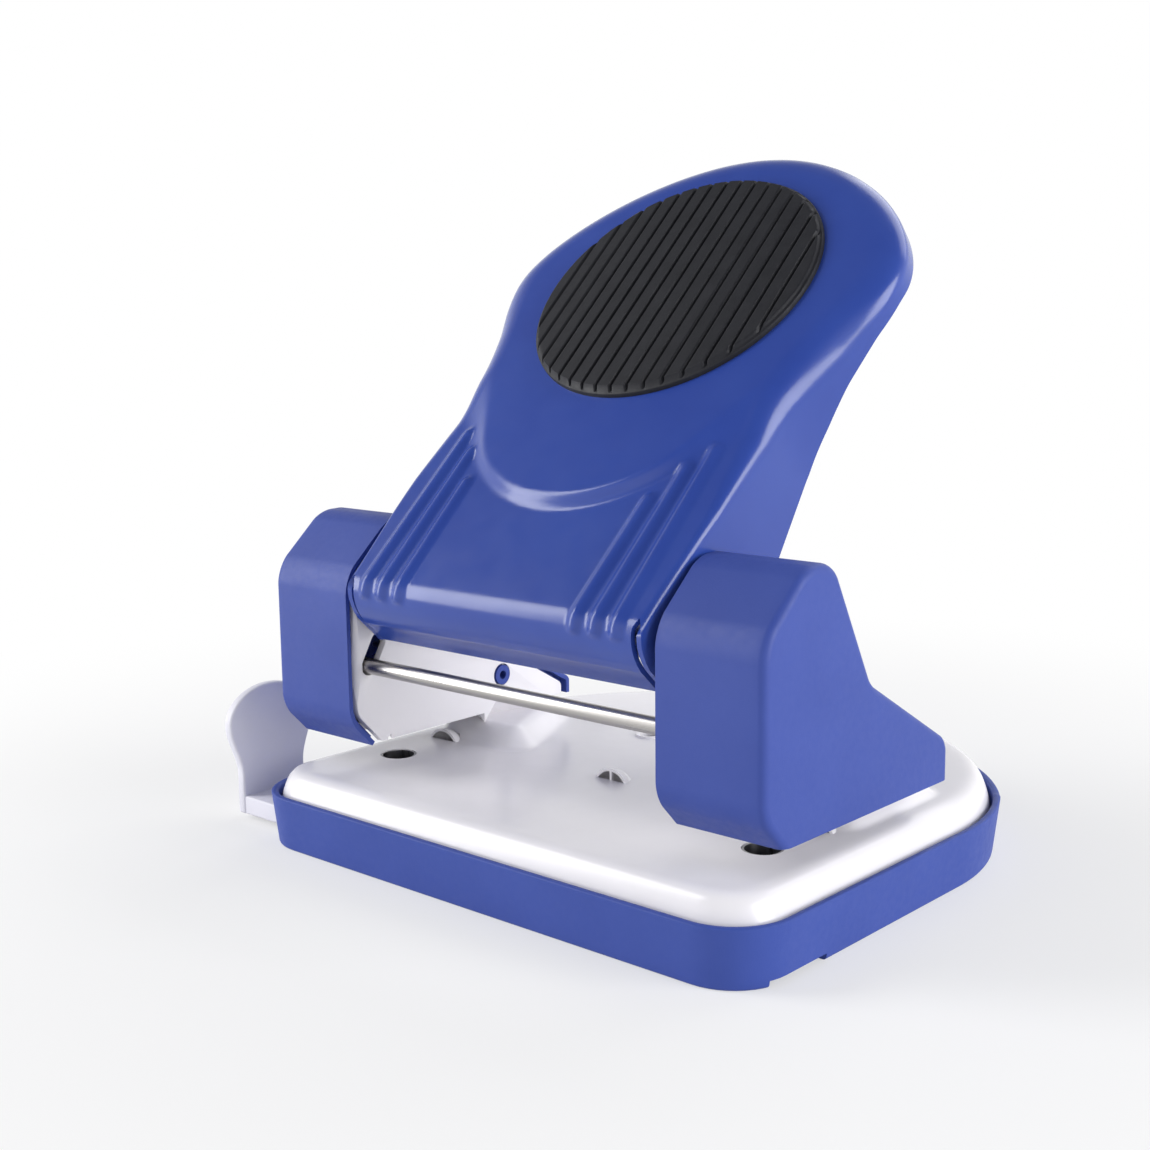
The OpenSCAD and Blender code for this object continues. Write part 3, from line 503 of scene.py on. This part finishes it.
def grip():
    bm = bmesh.new()
    bmesh.ops.create_grid(bm, x_segments=GRIP_RIBS * 22, y_segments=72, size=1)
    for vert in bm.verts:
        u = vert.co.x * GRIP_REACH
        w = vert.co.y * (GRIP_B - GRIP_EDGE) * math.sqrt(max(0, 1 - vert.co.x**2))
        vert.co = (u, w, grip_height(u, w))
    bmesh.ops.remove_doubles(bm, verts=bm.verts, dist=TINY)
    edges = rim_of(bm)
    for k in range(1, 5):
        a = math.pi / 2 * k / 4

        def place(vert, a=a, last=k == 4):
            way = Vector((vert.co.x / GRIP_A**2, vert.co.y / GRIP_B**2)).normalized()
            step = GRIP_EDGE * (math.sin(a) - math.sin(a - math.pi / 8))
            low = -0.1 if last else GRIP_T - GRIP_EDGE * (1 - math.cos(a))
            return (vert.co.x + way.x * step, vert.co.y + way.y * step, low)

        edges = grow(bm, edges, place)
    bmesh.ops.contextual_create(bm, geom=edges)
    face_up(bm)
    bmesh.ops.recalc_face_normals(bm, faces=bm.faces)
    move = LEVER_AT @ Matrix.Translation((0, GRIP_V, PADDLE_H))
    bmesh.ops.transform(bm, matrix=move, verts=bm.verts)
    return finish_piece(mesh_object(bm, "grip_pad"), "lever", "grip_black", "lever_grip", sharp=50)


# Moulded covers over the brackets

COVER_IN, COVER_OUT, COVER_T, COVER_ROUND = 33.2, 52.0, 1.7, 2.7
THROAT_Z, COVER_FRONT, COVER_REAR, TOE_SKEW = 18.5, -32.7, 16.8, 5.6
KNEE, KNEE_R, TOE_FALL, TOE_R = (-5.5, 37.9), 5.0, 0.575, 3.4
TOE_TOP = KNEE[1] - TOE_FALL * (COVER_REAR - KNEE[0])
COVER_CORNERS = (
    (COVER_REAR, THROAT_Z, 0), (COVER_REAR, TOE_TOP, TOE_R), (*KNEE, KNEE_R),
    (-15.9, 57.4, 4.6), (-22.8, 57.2, 6), (COVER_FRONT, 48.3, 7), (COVER_FRONT, 23.5, 6),
    (-27.9, THROAT_Z, 0),
)
STUD_Y, STUD_Z, STUD_R, STUD_BORE, STUD_END = 4.3, 25.1, 1.8, 0.8, 33.25
WALL_X, WALL_T, WALL_INSET, REBATE = 33.5, 1.4, 2.0, 0.8
COVER_STEPS = 14


def skewed(co):
    """Lengthens the covers' toe towards the inside."""
    if co.y < 8:
        return co
    shift = TOE_SKEW * math.sin(math.pi / 2 * clamp((COVER_OUT - co.x) / (COVER_OUT - COVER_IN)))
    height = (co.z - THROAT_Z) / (TOE_TOP - THROAT_Z)
    return Vector((co.x, co.y + shift, co.z - TOE_FALL * shift * height))


def cover_skin():
    bm = bmesh.new()
    round_corners(bm, COVER_CORNERS, lambda y, z: (COVER_OUT, y, z), 10)
    edges = rim_of(bm)
    for k in range(1, COVER_STEPS + 1):
        x = mix(COVER_OUT, COVER_IN, k / COVER_STEPS)
        edges = grow(bm, edges, lambda vert, x=x: (x, vert.co.y, vert.co.z))
    for vert in bm.verts:
        vert.co = skewed(vert.co)
    outer = [e for e in bm.edges if all(abs(v.co.x - COVER_OUT) < TINY for v in e.verts)]
    outer = [e for e in outer if any(v.co.z > THROAT_Z + TINY for v in e.verts)]
    bmesh.ops.recalc_face_normals(bm, faces=bm.faces)
    soften(bm, outer, COVER_ROUND, 7)
    under = [f for f in bm.faces if all(abs(v.co.z - THROAT_Z) < TINY for v in f.verts)]
    bmesh.ops.delete(bm, geom=under, context="FACES")
    return bm


def inner_face(bm, inset, x0, x1, low):
    """A slab with the outline of a cover's open end, moved inward and closed at the bottom."""
    round_corners(bm, COVER_CORNERS, lambda y, z: (COVER_IN, y, z), 10)
    rim = [skewed(v.co) for v in bm.faces[:][0].verts]
    bm.clear()
    turn = math.copysign(1, sum(a.y * b.z - b.y * a.z for a, b in zip(rim, rim[1:] + rim[:1])))
    spots = []
    for before, here, after in zip(rim[-1:] + rim[:-1], rim, rim[1:] + rim[:1]):
        way = (here - before).normalized() + (after - here).normalized()
        across = Vector((0, -way.z, way.y)).normalized() * turn
        spot = here + across * inset / max(0.5, way.length / 2)
        if here.z < THROAT_Z + TINY:
            side = before if before.z > here.z else after
            spot.y += (low - spot.z) * (side.y - here.y) / (side.z - here.z)
            spot.z = low
        spots.append((spot.y, spot.z))
    face = bm.faces.new([bm.verts.new((x0, y, z)) for y, z in spots])
    pulled = bmesh.ops.extrude_face_region(bm, geom=[face])["geom"]
    bmesh.ops.translate(bm, vec=(x1 - x0, 0, 0), verts=[g for g in pulled if isinstance(g, bmesh.types.BMVert)])
    bmesh.ops.recalc_face_normals(bm, faces=bm.faces)


def mirrored(bm, side):
    if side < 0:
        bmesh.ops.scale(bm, vec=(-1, 1, 1), verts=bm.verts)
        bmesh.ops.reverse_faces(bm, faces=bm.faces)
    return bm


def cover(side, name, node):
    bm = cover_skin()
    bmesh.ops.recalc_face_normals(bm, faces=bm.faces)
    if max(bm.faces, key=lambda f: f.calc_area()).normal.x < 0:
        bmesh.ops.reverse_faces(bm, faces=bm.faces)
    thicken(bm, COVER_T)
    made = mesh_object(mirrored(bm, side), name)
    rebate, stud, bore = (bmesh.new() for _ in range(3))
    inner_face(rebate, REBATE, COVER_IN - 1, WALL_X + WALL_T, THROAT_Z - 1)
    carve(made, mirrored(rebate, side), solver="MANIFOLD")
    rod(stud, STUD_R, STUD_END, COVER_OUT - COVER_T / 2, STUD_Y, STUD_Z)
    carve(made, mirrored(stud, side), "UNION", "MANIFOLD")
    rod(bore, STUD_BORE, COVER_IN - 1, COVER_OUT - 2 * COVER_T, STUD_Y, STUD_Z)
    carve(made, mirrored(bore, side), solver="MANIFOLD")
    return finish_piece(made, "base", "cover_blue", node)


# Plan shared by the tray and the base: straight front, round back

TRAY_HALF, TRAY_FRONT, TRAY_R = 54.1, 39.15, 10.5
TRAY_SIDE, TRAY_BACK = 19.8, 49.01
CORNER_SHARE, STRAIGHT_SHARE = 0.1, 0.52


def plan(p, inset):
    """Right side of the plan from the front, 0, to the back, 1, moved inward."""
    if p < CORNER_SHARE:
        a, r = math.pi / 2 * p / CORNER_SHARE, TRAY_R - inset
        return Vector((TRAY_HALF - TRAY_R + r * math.sin(a), TRAY_R - TRAY_FRONT - r * math.cos(a)))
    if p < STRAIGHT_SHARE:
        share = (p - CORNER_SHARE) / (STRAIGHT_SHARE - CORNER_SHARE)
        return Vector((TRAY_HALF - inset, mix(TRAY_R - TRAY_FRONT, TRAY_SIDE, share)))
    a = math.pi / 2 * (p - STRAIGHT_SHARE) / (1 - STRAIGHT_SHARE)
    return Vector(((TRAY_HALF - inset) * math.cos(a), TRAY_SIDE + (TRAY_BACK - inset) * math.sin(a)))


def plan_grid(bm, columns, rows, inset, z):
    """A sheet over the plan that keeps, for each vertex, its place along and across it."""
    bmesh.ops.create_grid(bm, x_segments=columns, y_segments=rows, size=1)
    row, across = bm.verts.layers.float.new("row"), bm.verts.layers.float.new("across")
    for vert in bm.verts:
        vert[row], vert[across] = (vert.co.y + 1) / 2, vert.co.x
        spot = plan(vert[row], inset)
        vert.co = (spot.x * vert[across], spot.y, z)
    bmesh.ops.remove_doubles(bm, verts=bm.verts, dist=TINY)
    return row, across


# Base: white enamelled sheet with a soft shoulder, raised pads and paper stops

BASE_Z, BASE_T, BASE_LOW = 13.2, 1.2, 6.5
BASE_EDGE, SHOULDER, DROP, DROP_POWER = 1.8, 8.0, 5.2, 6.5
SHOULDER_RINGS = 18
PAD_Z, PAD_FOOT, PAD_CREST = 17.0, 5.4, 1.0
PAD_CORNERS = ((28.8, 2.2), (41.6, 2.2), (41.6, 21.4), (38.3, 21.4))
HOLE_X, HOLE_Y, HOLE_R = 40.0, -16.0, 3.25
DIE_R, DIE_BORE, DIE_LOW, DIE_TOP, COLLAR_R, COLLAR_TOP = 4.4, 2.81, 8.0, 11.98, 3.2, 13.1
STOP_X, STOP_Y, STOP_R, STOP_H, STOP_T, WEB_HALF = 41.0, -4.0, 3.9, 2.0, 0.5, 0.22
LATCH_X, LATCH_Y, LATCH_R, LATCH_RING = 13.0, 22.5, 1.9, 1.2


def pad_share(x, y):
    """How much of a pad's height a place on the base has."""
    spot, far, inside = Vector((abs(x), y)), 1e9, True
    for a, b in zip(PAD_CORNERS, PAD_CORNERS[1:] + PAD_CORNERS[:1]):
        a, way = Vector(a), Vector(b) - Vector(a)
        off = spot - a
        far = min(far, (off - way * clamp(off.dot(way) / way.length_squared)).length)
        inside = inside and way.cross(off) >= 0
    return 1.0 if inside else 1 - ease((far - PAD_CREST) / (PAD_FOOT - PAD_CREST))


def base_skin():
    bm = bmesh.new()
    row, across = plan_grid(bm, 116, 150, BASE_EDGE + SHOULDER, BASE_Z)
    edges = rim_of(bm)
    rings = [(k / SHOULDER_RINGS) ** 0.75 for k in range(1, SHOULDER_RINGS + 1)]
    rings = [(BASE_EDGE + SHOULDER * (1 - q), BASE_Z - DROP * q**DROP_POWER) for q in rings]
    for inset, z in [*rings, (BASE_EDGE, BASE_LOW)]:

        def place(vert, inset=inset, z=z):
            spot = plan(vert[row], inset)
            return (spot.x * vert[across], spot.y, z)

        edges = grow(bm, edges, place)
    for vert in bm.verts:
        vert.co.z = mix(vert.co.z, PAD_Z, pad_share(vert.co.x, vert.co.y))
    face_up(bm)
    return bm


def paper_stop(x):
    """Half dome with an open front."""
    bm = bmesh.new()
    middle = Vector((x, STOP_Y, BASE_Z + STOP_H - STOP_R))
    bmesh.ops.create_uvsphere(bm, u_segments=48, v_segments=32, radius=STOP_R, matrix=Matrix.Translation(middle))
    for spot, way in ((middle, (0, -1, 0)), ((x, STOP_Y, BASE_Z - BASE_T * 0.8), (0, 0, -1))):
        everything = bm.verts[:] + bm.edges[:] + bm.faces[:]
        bmesh.ops.bisect_plane(bm, geom=everything, plane_co=spot, plane_no=way, clear_outer=True)
    bmesh.ops.recalc_face_normals(bm, faces=bm.faces)
    thicken(bm, STOP_T)
    return bm


def base():
    bm = base_skin()
    thicken(bm, BASE_T)
    made = mesh_object(bm, "base_sheet")
    cut = bmesh.new()
    for side in (-1, 1):
        post(cut, HOLE_R, side * HOLE_X, HOLE_Y, BASE_Z - 4, BASE_Z + 4)
        post(cut, LATCH_R, side * LATCH_X, LATCH_Y, BASE_Z - 4, BASE_Z + 4)
    carve(made, cut)
    for x in (-STOP_X, 0, STOP_X):
        cut = bmesh.new()
        radius = STOP_R - STOP_T
        post(cut, radius - 0.3, x, STOP_Y, BASE_Z - 3, BASE_Z + 1)
        bmesh.ops.bisect_plane(
            cut, geom=cut.verts[:] + cut.edges[:] + cut.faces[:], plane_co=(x, STOP_Y, 0),
            plane_no=(0, -1, 0), clear_outer=True,
        )
        bmesh.ops.holes_fill(cut, edges=rim_of(cut))
        bmesh.ops.recalc_face_normals(cut, faces=cut.faces)
        carve(made, cut)
        carve(made, paper_stop(x), "UNION")
    web = bmesh.new()
    block(web, -WEB_HALF, WEB_HALF, STOP_Y, STOP_Y + STOP_T, BASE_Z - BASE_T * 0.6, BASE_Z + STOP_H - STOP_T / 2)
    carve(made, web, "UNION")
    for side in (-1, 1):
        ring = bmesh.new()
        turned(ring, ((LATCH_R, BASE_Z - 0.3), (LATCH_R, BASE_Z + 0.25), (LATCH_R + 0.25, BASE_Z + 0.4),
                      (LATCH_R + LATCH_RING - 0.4, BASE_Z + 0.4), (LATCH_R + LATCH_RING, BASE_Z - 0.3)),
               side * LATCH_X, LATCH_Y, closed=True)
        carve(made, ring, "UNION")
    return finish_piece(made, "base", "enamel_white", "base_plate", sharp=42)


# Chip tray: drafted plastic wall with a ledge for the base and a tunnel for the guide

TRAY_H, TRAY_DRAFT, TRAY_WALL, TRAY_FLOOR = 9.5, 1.1, 1.2, 1.4
LEDGE_Z, LEDGE_W, FOOT_R, RIM_R = 6.4, 1.6, 0.6, 0.4
RIM_CUT, RIM_CUT_Y = 0.7, 42.0
BAR_Y, BAR_HALF, BAR_LOW, BAR_HIGH, BAR_END = -25.4, 6.8, 1.0, 4.4, 42.0
SLIDE_GAP, TUNNEL_WALL, TUNNEL_END, TUNNEL_H = 0.4, 1.1, 51.4, 4.8
LIP_W, LIP_T, NOTCH_H = 1.2, 0.7, 1.1


def draft_at(z):
    return TRAY_DRAFT * (1 - z / TRAY_H)


def tray():
    bm = bmesh.new()
    row, across = plan_grid(bm, 60, 110, draft_at(0) + FOOT_R, 0)
    edges = rim_of(bm)
    rings = [(draft_at(FOOT_R) + FOOT_R * (1 - math.sin(a)), FOOT_R * (1 - math.cos(a)))
             for a in (math.pi / 2 * k / 4 for k in range(1, 5))]
    rings += [(draft_at(z), z) for z in (4, TRAY_H - RIM_R)]
    rings += [(RIM_R * (1 - math.cos(a)), TRAY_H - RIM_R * (1 - math.sin(a)))
              for a in (math.pi / 2 * k / 4 for k in range(1, 5))]
    rings += [(TRAY_WALL - RIM_R * (1 - math.sin(a)), TRAY_H - RIM_R * (1 - math.cos(a)))
              for a in (math.pi / 2 * k / 4 for k in range(0, 5))]
    ledge = TRAY_WALL + draft_at(LEDGE_Z)
    rings += [(ledge, LEDGE_Z), (ledge + LEDGE_W, LEDGE_Z),
              (TRAY_WALL + LEDGE_W + draft_at(TRAY_FLOOR), TRAY_FLOOR)]
    for inset, z in rings:

        def place(vert, inset=inset, z=z):
            spot = plan(vert[row], inset)
            cut = RIM_CUT * ease((spot.y - RIM_CUT_Y) / 0.9 + 0.5) if z > TRAY_H - 1 else 0
            return (spot.x * vert[across], spot.y, z - cut)

        edges = grow(bm, edges, place)
    bmesh.ops.contextual_create(bm, geom=edges)
    bmesh.ops.recalc_face_normals(bm, faces=bm.faces)
    made = mesh_object(bm, "tray_body")
    wide = BAR_HALF + SLIDE_GAP
    tunnel, channel, slit, notch = (bmesh.new() for _ in range(4))
    block(tunnel, -TUNNEL_END, TUNNEL_END, BAR_Y - wide - TUNNEL_WALL, BAR_Y + wide + TUNNEL_WALL,
          0.2, TUNNEL_H + TUNNEL_WALL)
    block(channel, -2 * TRAY_HALF, TUNNEL_END, BAR_Y - wide, BAR_Y + wide, LIP_T, TUNNEL_H)
    block(slit, -2 * TRAY_HALF, TUNNEL_END, BAR_Y - wide + LIP_W, BAR_Y + wide - LIP_W, -1, TUNNEL_H - 1)
    block(notch, 0, 2 * TRAY_HALF, BAR_Y - BAR_HALF + SLIDE_GAP, BAR_Y + BAR_HALF, -1, NOTCH_H)
    carve(made, tunnel, "UNION")
    for cut in (channel, slit, notch):
        carve(made, cut)
    return finish_piece(made, "tray", "tray_blue", "chip_tray", sharp=35)


# Paper guide: a bar in the tunnel and a rounded stop plate

PLATE_X, PLATE_T = -66.0, 2.0
NECK_A, NECK_Z, HEAD_A, HEAD_B, HEAD_Z = 7.0, 8.4, 9.4, 6.7, 17.8
HEAD_STEPS = 18


def guide():
    bm = bmesh.new()
    sides = [(NECK_A, BAR_LOW)]
    sides += [(mix(NECK_A, HEAD_A, ease(k / HEAD_STEPS)), mix(NECK_Z, HEAD_Z, k / HEAD_STEPS))
              for k in range(HEAD_STEPS + 1)]
    sides += [(HEAD_A * math.cos(a), HEAD_Z + HEAD_B * math.sin(a))
              for a in (math.pi / 2 * k / HEAD_STEPS for k in range(1, HEAD_STEPS + 1))]
    outline = sides + [(-a, z) for a, z in reversed(sides[:-1])]
    face = bm.faces.new([bm.verts.new((PLATE_X, BAR_Y + a, z)) for a, z in outline])
    pulled = bmesh.ops.extrude_face_region(bm, geom=[face])["geom"]
    bmesh.ops.translate(bm, vec=(PLATE_T, 0, 0), verts=[g for g in pulled if isinstance(g, bmesh.types.BMVert)])
    bmesh.ops.recalc_face_normals(bm, faces=bm.faces)
    soften(bm, creases(bm, 50), 0.45, 3)
    made = mesh_object(bm, "guide_stop")
    bar = bmesh.new()
    block(bar, PLATE_X + PLATE_T / 2, BAR_END, BAR_Y - BAR_HALF, BAR_Y + BAR_HALF, BAR_LOW, BAR_HIGH)
    soften(bar, bar.edges[:], 0.35, 3)
    carve(made, bar, "UNION")
    return finish_piece(made, "guide", "guide_pale", "guide_bar", sharp=35)


# Steel: lock rod, return springs and the punching gear

ROD_Y, ROD_Z, ROD_R, ROD_HALF = -27.8, 32.4, 1.35, 48.0
SPRING_LOW, SPRING_HIGH, WIRE_R, COIL_R, COIL_TURNS = 29.4, 41.55, 0.4, 3.7, 5


def lock_rod():
    bm = bmesh.new()
    rod(bm, ROD_R, -ROD_HALF, ROD_HALF, ROD_Y, ROD_Z)
    soften(bm, creases(bm, 60), 0.3, 3)
    return finish_piece(mesh_object(bm, "lock_bar"), "lock", "bright_steel", "lock_rod")


def return_spring(side, name, node):
    bm = bmesh.new()
    place = Matrix.Translation((side * HOLE_X + COIL_R, HOLE_Y, SPRING_LOW + WIRE_R))
    ring = bmesh.ops.create_circle(
        bm, segments=14, radius=WIRE_R, matrix=place @ Matrix.Rotation(math.pi / 2, 4, "X")
    )["verts"]
    steps = 32 * COIL_TURNS
    rise = (SPRING_HIGH - SPRING_LOW - 2 * WIRE_R) / steps
    bmesh.ops.spin(
        bm, geom=ring + [e for e in bm.edges], cent=(side * HOLE_X, HOLE_Y, 0), axis=(0, 0, 1),
        dvec=(0, 0, rise), angle=2 * math.pi * COIL_TURNS, steps=steps, use_merge=False,
    )
    bmesh.ops.remove_doubles(bm, verts=bm.verts, dist=TINY)
    bmesh.ops.holes_fill(bm, edges=rim_of(bm))
    bmesh.ops.recalc_face_normals(bm, faces=bm.faces)
    made = finish_piece(mesh_object(bm, name), "base", "tool_steel", node, sharp=60)
    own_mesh(made)


def die(side, name, node):
    bm = bmesh.new()
    profile = ((DIE_BORE, DIE_LOW), (DIE_R, DIE_LOW), (DIE_R, DIE_TOP), (COLLAR_R, DIE_TOP),
               (COLLAR_R, COLLAR_TOP - 0.1), (COLLAR_R - 0.1, COLLAR_TOP), (DIE_BORE, COLLAR_TOP))
    turned(bm, profile, side * HOLE_X, HOLE_Y, closed=True, steps=64)
    return finish_piece(mesh_object(bm, name), "base", "tool_steel", node)


def wall_rim(side):
    """The part of a bracket's plate that lies in the cover's rebate."""
    outer, inner = bmesh.new(), bmesh.new()
    inner_face(outer, REBATE + 0.15, WALL_X, WALL_X + WALL_T, THROAT_Z + 0.2)
    inner_face(inner, WALL_INSET + 0.05, WALL_X - 1, WALL_X + WALL_T + 1, THROAT_Z - 1)
    made = mesh_object(mirrored(outer, side), "wall_rim")
    carve(made, mirrored(inner, side))
    bm = bmesh.new()
    bm.from_mesh(made.data)
    bmesh.ops.scale(bm, vec=(1 / MM, 1 / MM, 1 / MM), verts=bm.verts)
    old = made.data
    bpy.data.objects.remove(made)
    bpy.data.meshes.remove(old)
    return bm


def softened(node, name, body, slot, width, extra=None):
    """A machined or folded piece with its edges taken off."""
    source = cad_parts[node].data
    bm = bmesh.new()
    bm.from_mesh(source)
    bmesh.ops.scale(bm, vec=(1 / MM, 1 / MM, 1 / MM), verts=bm.verts)
    bmesh.ops.remove_doubles(bm, verts=bm.verts, dist=TINY)
    if extra:
        joined = mesh_object(bm, name)
        carve(joined, extra, "UNION", "MANIFOLD")
        bm = bmesh.new()
        bm.from_mesh(joined.data)
        bmesh.ops.scale(bm, vec=(1 / MM, 1 / MM, 1 / MM), verts=bm.verts)
        bmesh.ops.remove_doubles(bm, verts=bm.verts, dist=TINY)
        old = joined.data
        bpy.data.objects.remove(joined)
        bpy.data.meshes.remove(old)
    bmesh.ops.dissolve_limit(bm, angle_limit=math.radians(1), verts=bm.verts, edges=bm.edges)
    soften(bm, creases(bm, 40), width, 2)
    return finish_piece(mesh_object(bm, name), body, slot, node, sharp=30)


for piece_of in (lever, grip, base, tray, guide, lock_rod):
    piece_of()
cover(1, "right_cover_shell", "right_cover")
cover(-1, "left_cover_shell", "left_cover")
return_spring(-1, "left_return_spring", "left_spring")
return_spring(1, "right_return_spring", "right_spring")
softened("left_bracket", "left_bracket_plate", "base", "enamel_white", 0.2, wall_rim(-1))
softened("right_bracket", "right_bracket_plate", "base", "enamel_white", 0.2, wall_rim(1))
die(-1, "left_die_turned", "left_die")
die(1, "right_die_turned", "right_die")
for node in ("bracket_rivets", "axle_clips"):
    softened(node, node + "_turned", "base", "tool_steel", 0.12)
softened("pivot_axle", "axle_bar", "base", "bright_steel", 0.2)
softened("press_bar", "press_roller", "lever", "bright_steel", 0.2)
softened("press_bar_clips", "press_roller_clips", "lever", "tool_steel", 0.1)
for side in ("left", "right"):
    softened(side + "_punch_pin", side + "_pin_turned", side + "_pin", "tool_steel", 0.12)
    softened(side + "_spring_cap", side + "_cap_turned", side + "_pin", "tool_steel", 0.1)


# Floor, light and camera


def studio_floor():
    bm = bmesh.new()
    bmesh.ops.create_grid(bm, x_segments=1, y_segments=1, size=3000)
    made = mesh_object(bm, "floor")
    material = bpy.data.materials.new("pale_floor")
    material.use_nodes = True
    nodes, links = material.node_tree.nodes, material.node_tree.links
    nodes.clear()
    coordinate = nodes.new("ShaderNodeTexCoord")
    length = nodes.new("ShaderNodeVectorMath")
    length.operation = "LENGTH"
    fade = nodes.new("ShaderNodeMapRange")
    fade.interpolation_type = "SMOOTHSTEP"
    fade.inputs["From Min"].default_value = 0.08
    fade.inputs["From Max"].default_value = 0.23
    fade.inputs["To Min"].default_value = 0.48
    fade.inputs["To Max"].default_value = 1.0
    rays = nodes.new("ShaderNodeLightPath")
    seen = nodes.new("ShaderNodeMath")
    seen.operation = "MAXIMUM"
    shown = nodes.new("ShaderNodeMath")
    shown.operation = "MULTIPLY"
    matt = nodes.new("ShaderNodeBsdfDiffuse")
    matt.inputs["Color"].default_value = (0.86, 0.86, 0.87, 1)
    white = nodes.new("ShaderNodeEmission")
    blend = nodes.new("ShaderNodeMixShader")
    output = nodes.new("ShaderNodeOutputMaterial")
    links.new(coordinate.outputs["Object"], length.inputs[0])
    links.new(length.outputs["Value"], fade.inputs["Value"])
    links.new(rays.outputs["Is Camera Ray"], seen.inputs[0])
    links.new(rays.outputs["Is Glossy Ray"], seen.inputs[1])
    links.new(seen.outputs["Value"], shown.inputs[0])
    links.new(fade.outputs["Result"], shown.inputs[1])
    links.new(shown.outputs["Value"], blend.inputs["Fac"])
    links.new(matt.outputs["BSDF"], blend.inputs[1])
    links.new(white.outputs["Emission"], blend.inputs[2])
    links.new(blend.outputs["Shader"], output.inputs["Surface"])
    made.data.materials.append(material)


def studio_world(ceiling):
    """White round the horizon, where the camera looks, and a dim ceiling."""
    world = bpy.data.worlds.new("studio")
    world.use_nodes = True
    scene.world = world
    nodes, links = world.node_tree.nodes, world.node_tree.links
    nodes.clear()
    way = nodes.new("ShaderNodeTexCoord")
    split = nodes.new("ShaderNodeSeparateXYZ")
    height = nodes.new("ShaderNodeMapRange")
    height.interpolation_type = "SMOOTHSTEP"
    height.inputs["From Min"].default_value = 0.24
    height.inputs["From Max"].default_value = 0.85
    height.inputs["To Min"].default_value = 1.0
    height.inputs["To Max"].default_value = ceiling
    room = nodes.new("ShaderNodeBackground")
    room.inputs["Color"].default_value = (1, 1, 1, 1)
    output = nodes.new("ShaderNodeOutputWorld")
    links.new(way.outputs["Generated"], split.inputs["Vector"])
    links.new(split.outputs["Z"], height.inputs["Value"])
    links.new(height.outputs["Result"], room.inputs["Strength"])
    links.new(room.outputs["Background"], output.inputs["Surface"])


def softbox(name, towards, distance, size, watts, colour=(1, 1, 1)):
    data = bpy.data.lights.new(name, "AREA")
    data.shape = "RECTANGLE"
    data.size, data.size_y = size
    data.energy = watts
    data.color = colour
    lamp = bpy.data.objects.new(name, data)
    way = Vector(towards).normalized()
    lamp.location = Vector((0, 0, 0.05)) + way * distance
    lamp.rotation_mode = "QUATERNION"
    lamp.rotation_quaternion = way.to_track_quat("Z", "Y")
    scene.collection.objects.link(lamp)


def photo_camera():
    focal, width = 1648.56, 1150.0
    yaw, pitch, roll = 0.7332448, 0.1673121, -0.0119021
    ahead = Vector((-math.sin(yaw) * math.cos(pitch), math.cos(yaw) * math.cos(pitch), -math.sin(pitch)))
    right = ahead.cross(Vector((0, 0, 1))).normalized()
    up = right.cross(ahead)
    turn = Matrix.Rotation(roll, 3, -ahead)
    right, up = turn @ right, turn @ up
    data = bpy.data.cameras.new("camera")
    data.sensor_width = 36
    data.lens = focal / width * data.sensor_width
    data.clip_start, data.clip_end = 0.01, 20
    camera = bpy.data.objects.new("camera", data)
    place = Matrix((right, up, -ahead)).transposed().to_4x4()
    place.translation = Vector((176.1168, -207.9017, 93.95)) * MM
    camera.matrix_world = place
    scene.collection.objects.link(camera)
    scene.camera = camera


scene.view_settings.view_transform = "Standard"
studio_floor()
studio_world(0.12)
softbox("key", (-0.7, -0.55, 0.36), 0.62, (0.26, 0.6), 3.0)
softbox("back_top", (0.0, 0.75, 0.65), 0.8, (0.6, 0.4), 1.3)
softbox("right_fill", (0.93, 0.2, 0.3), 0.8, (0.5, 0.5), 4.8)
photo_camera()
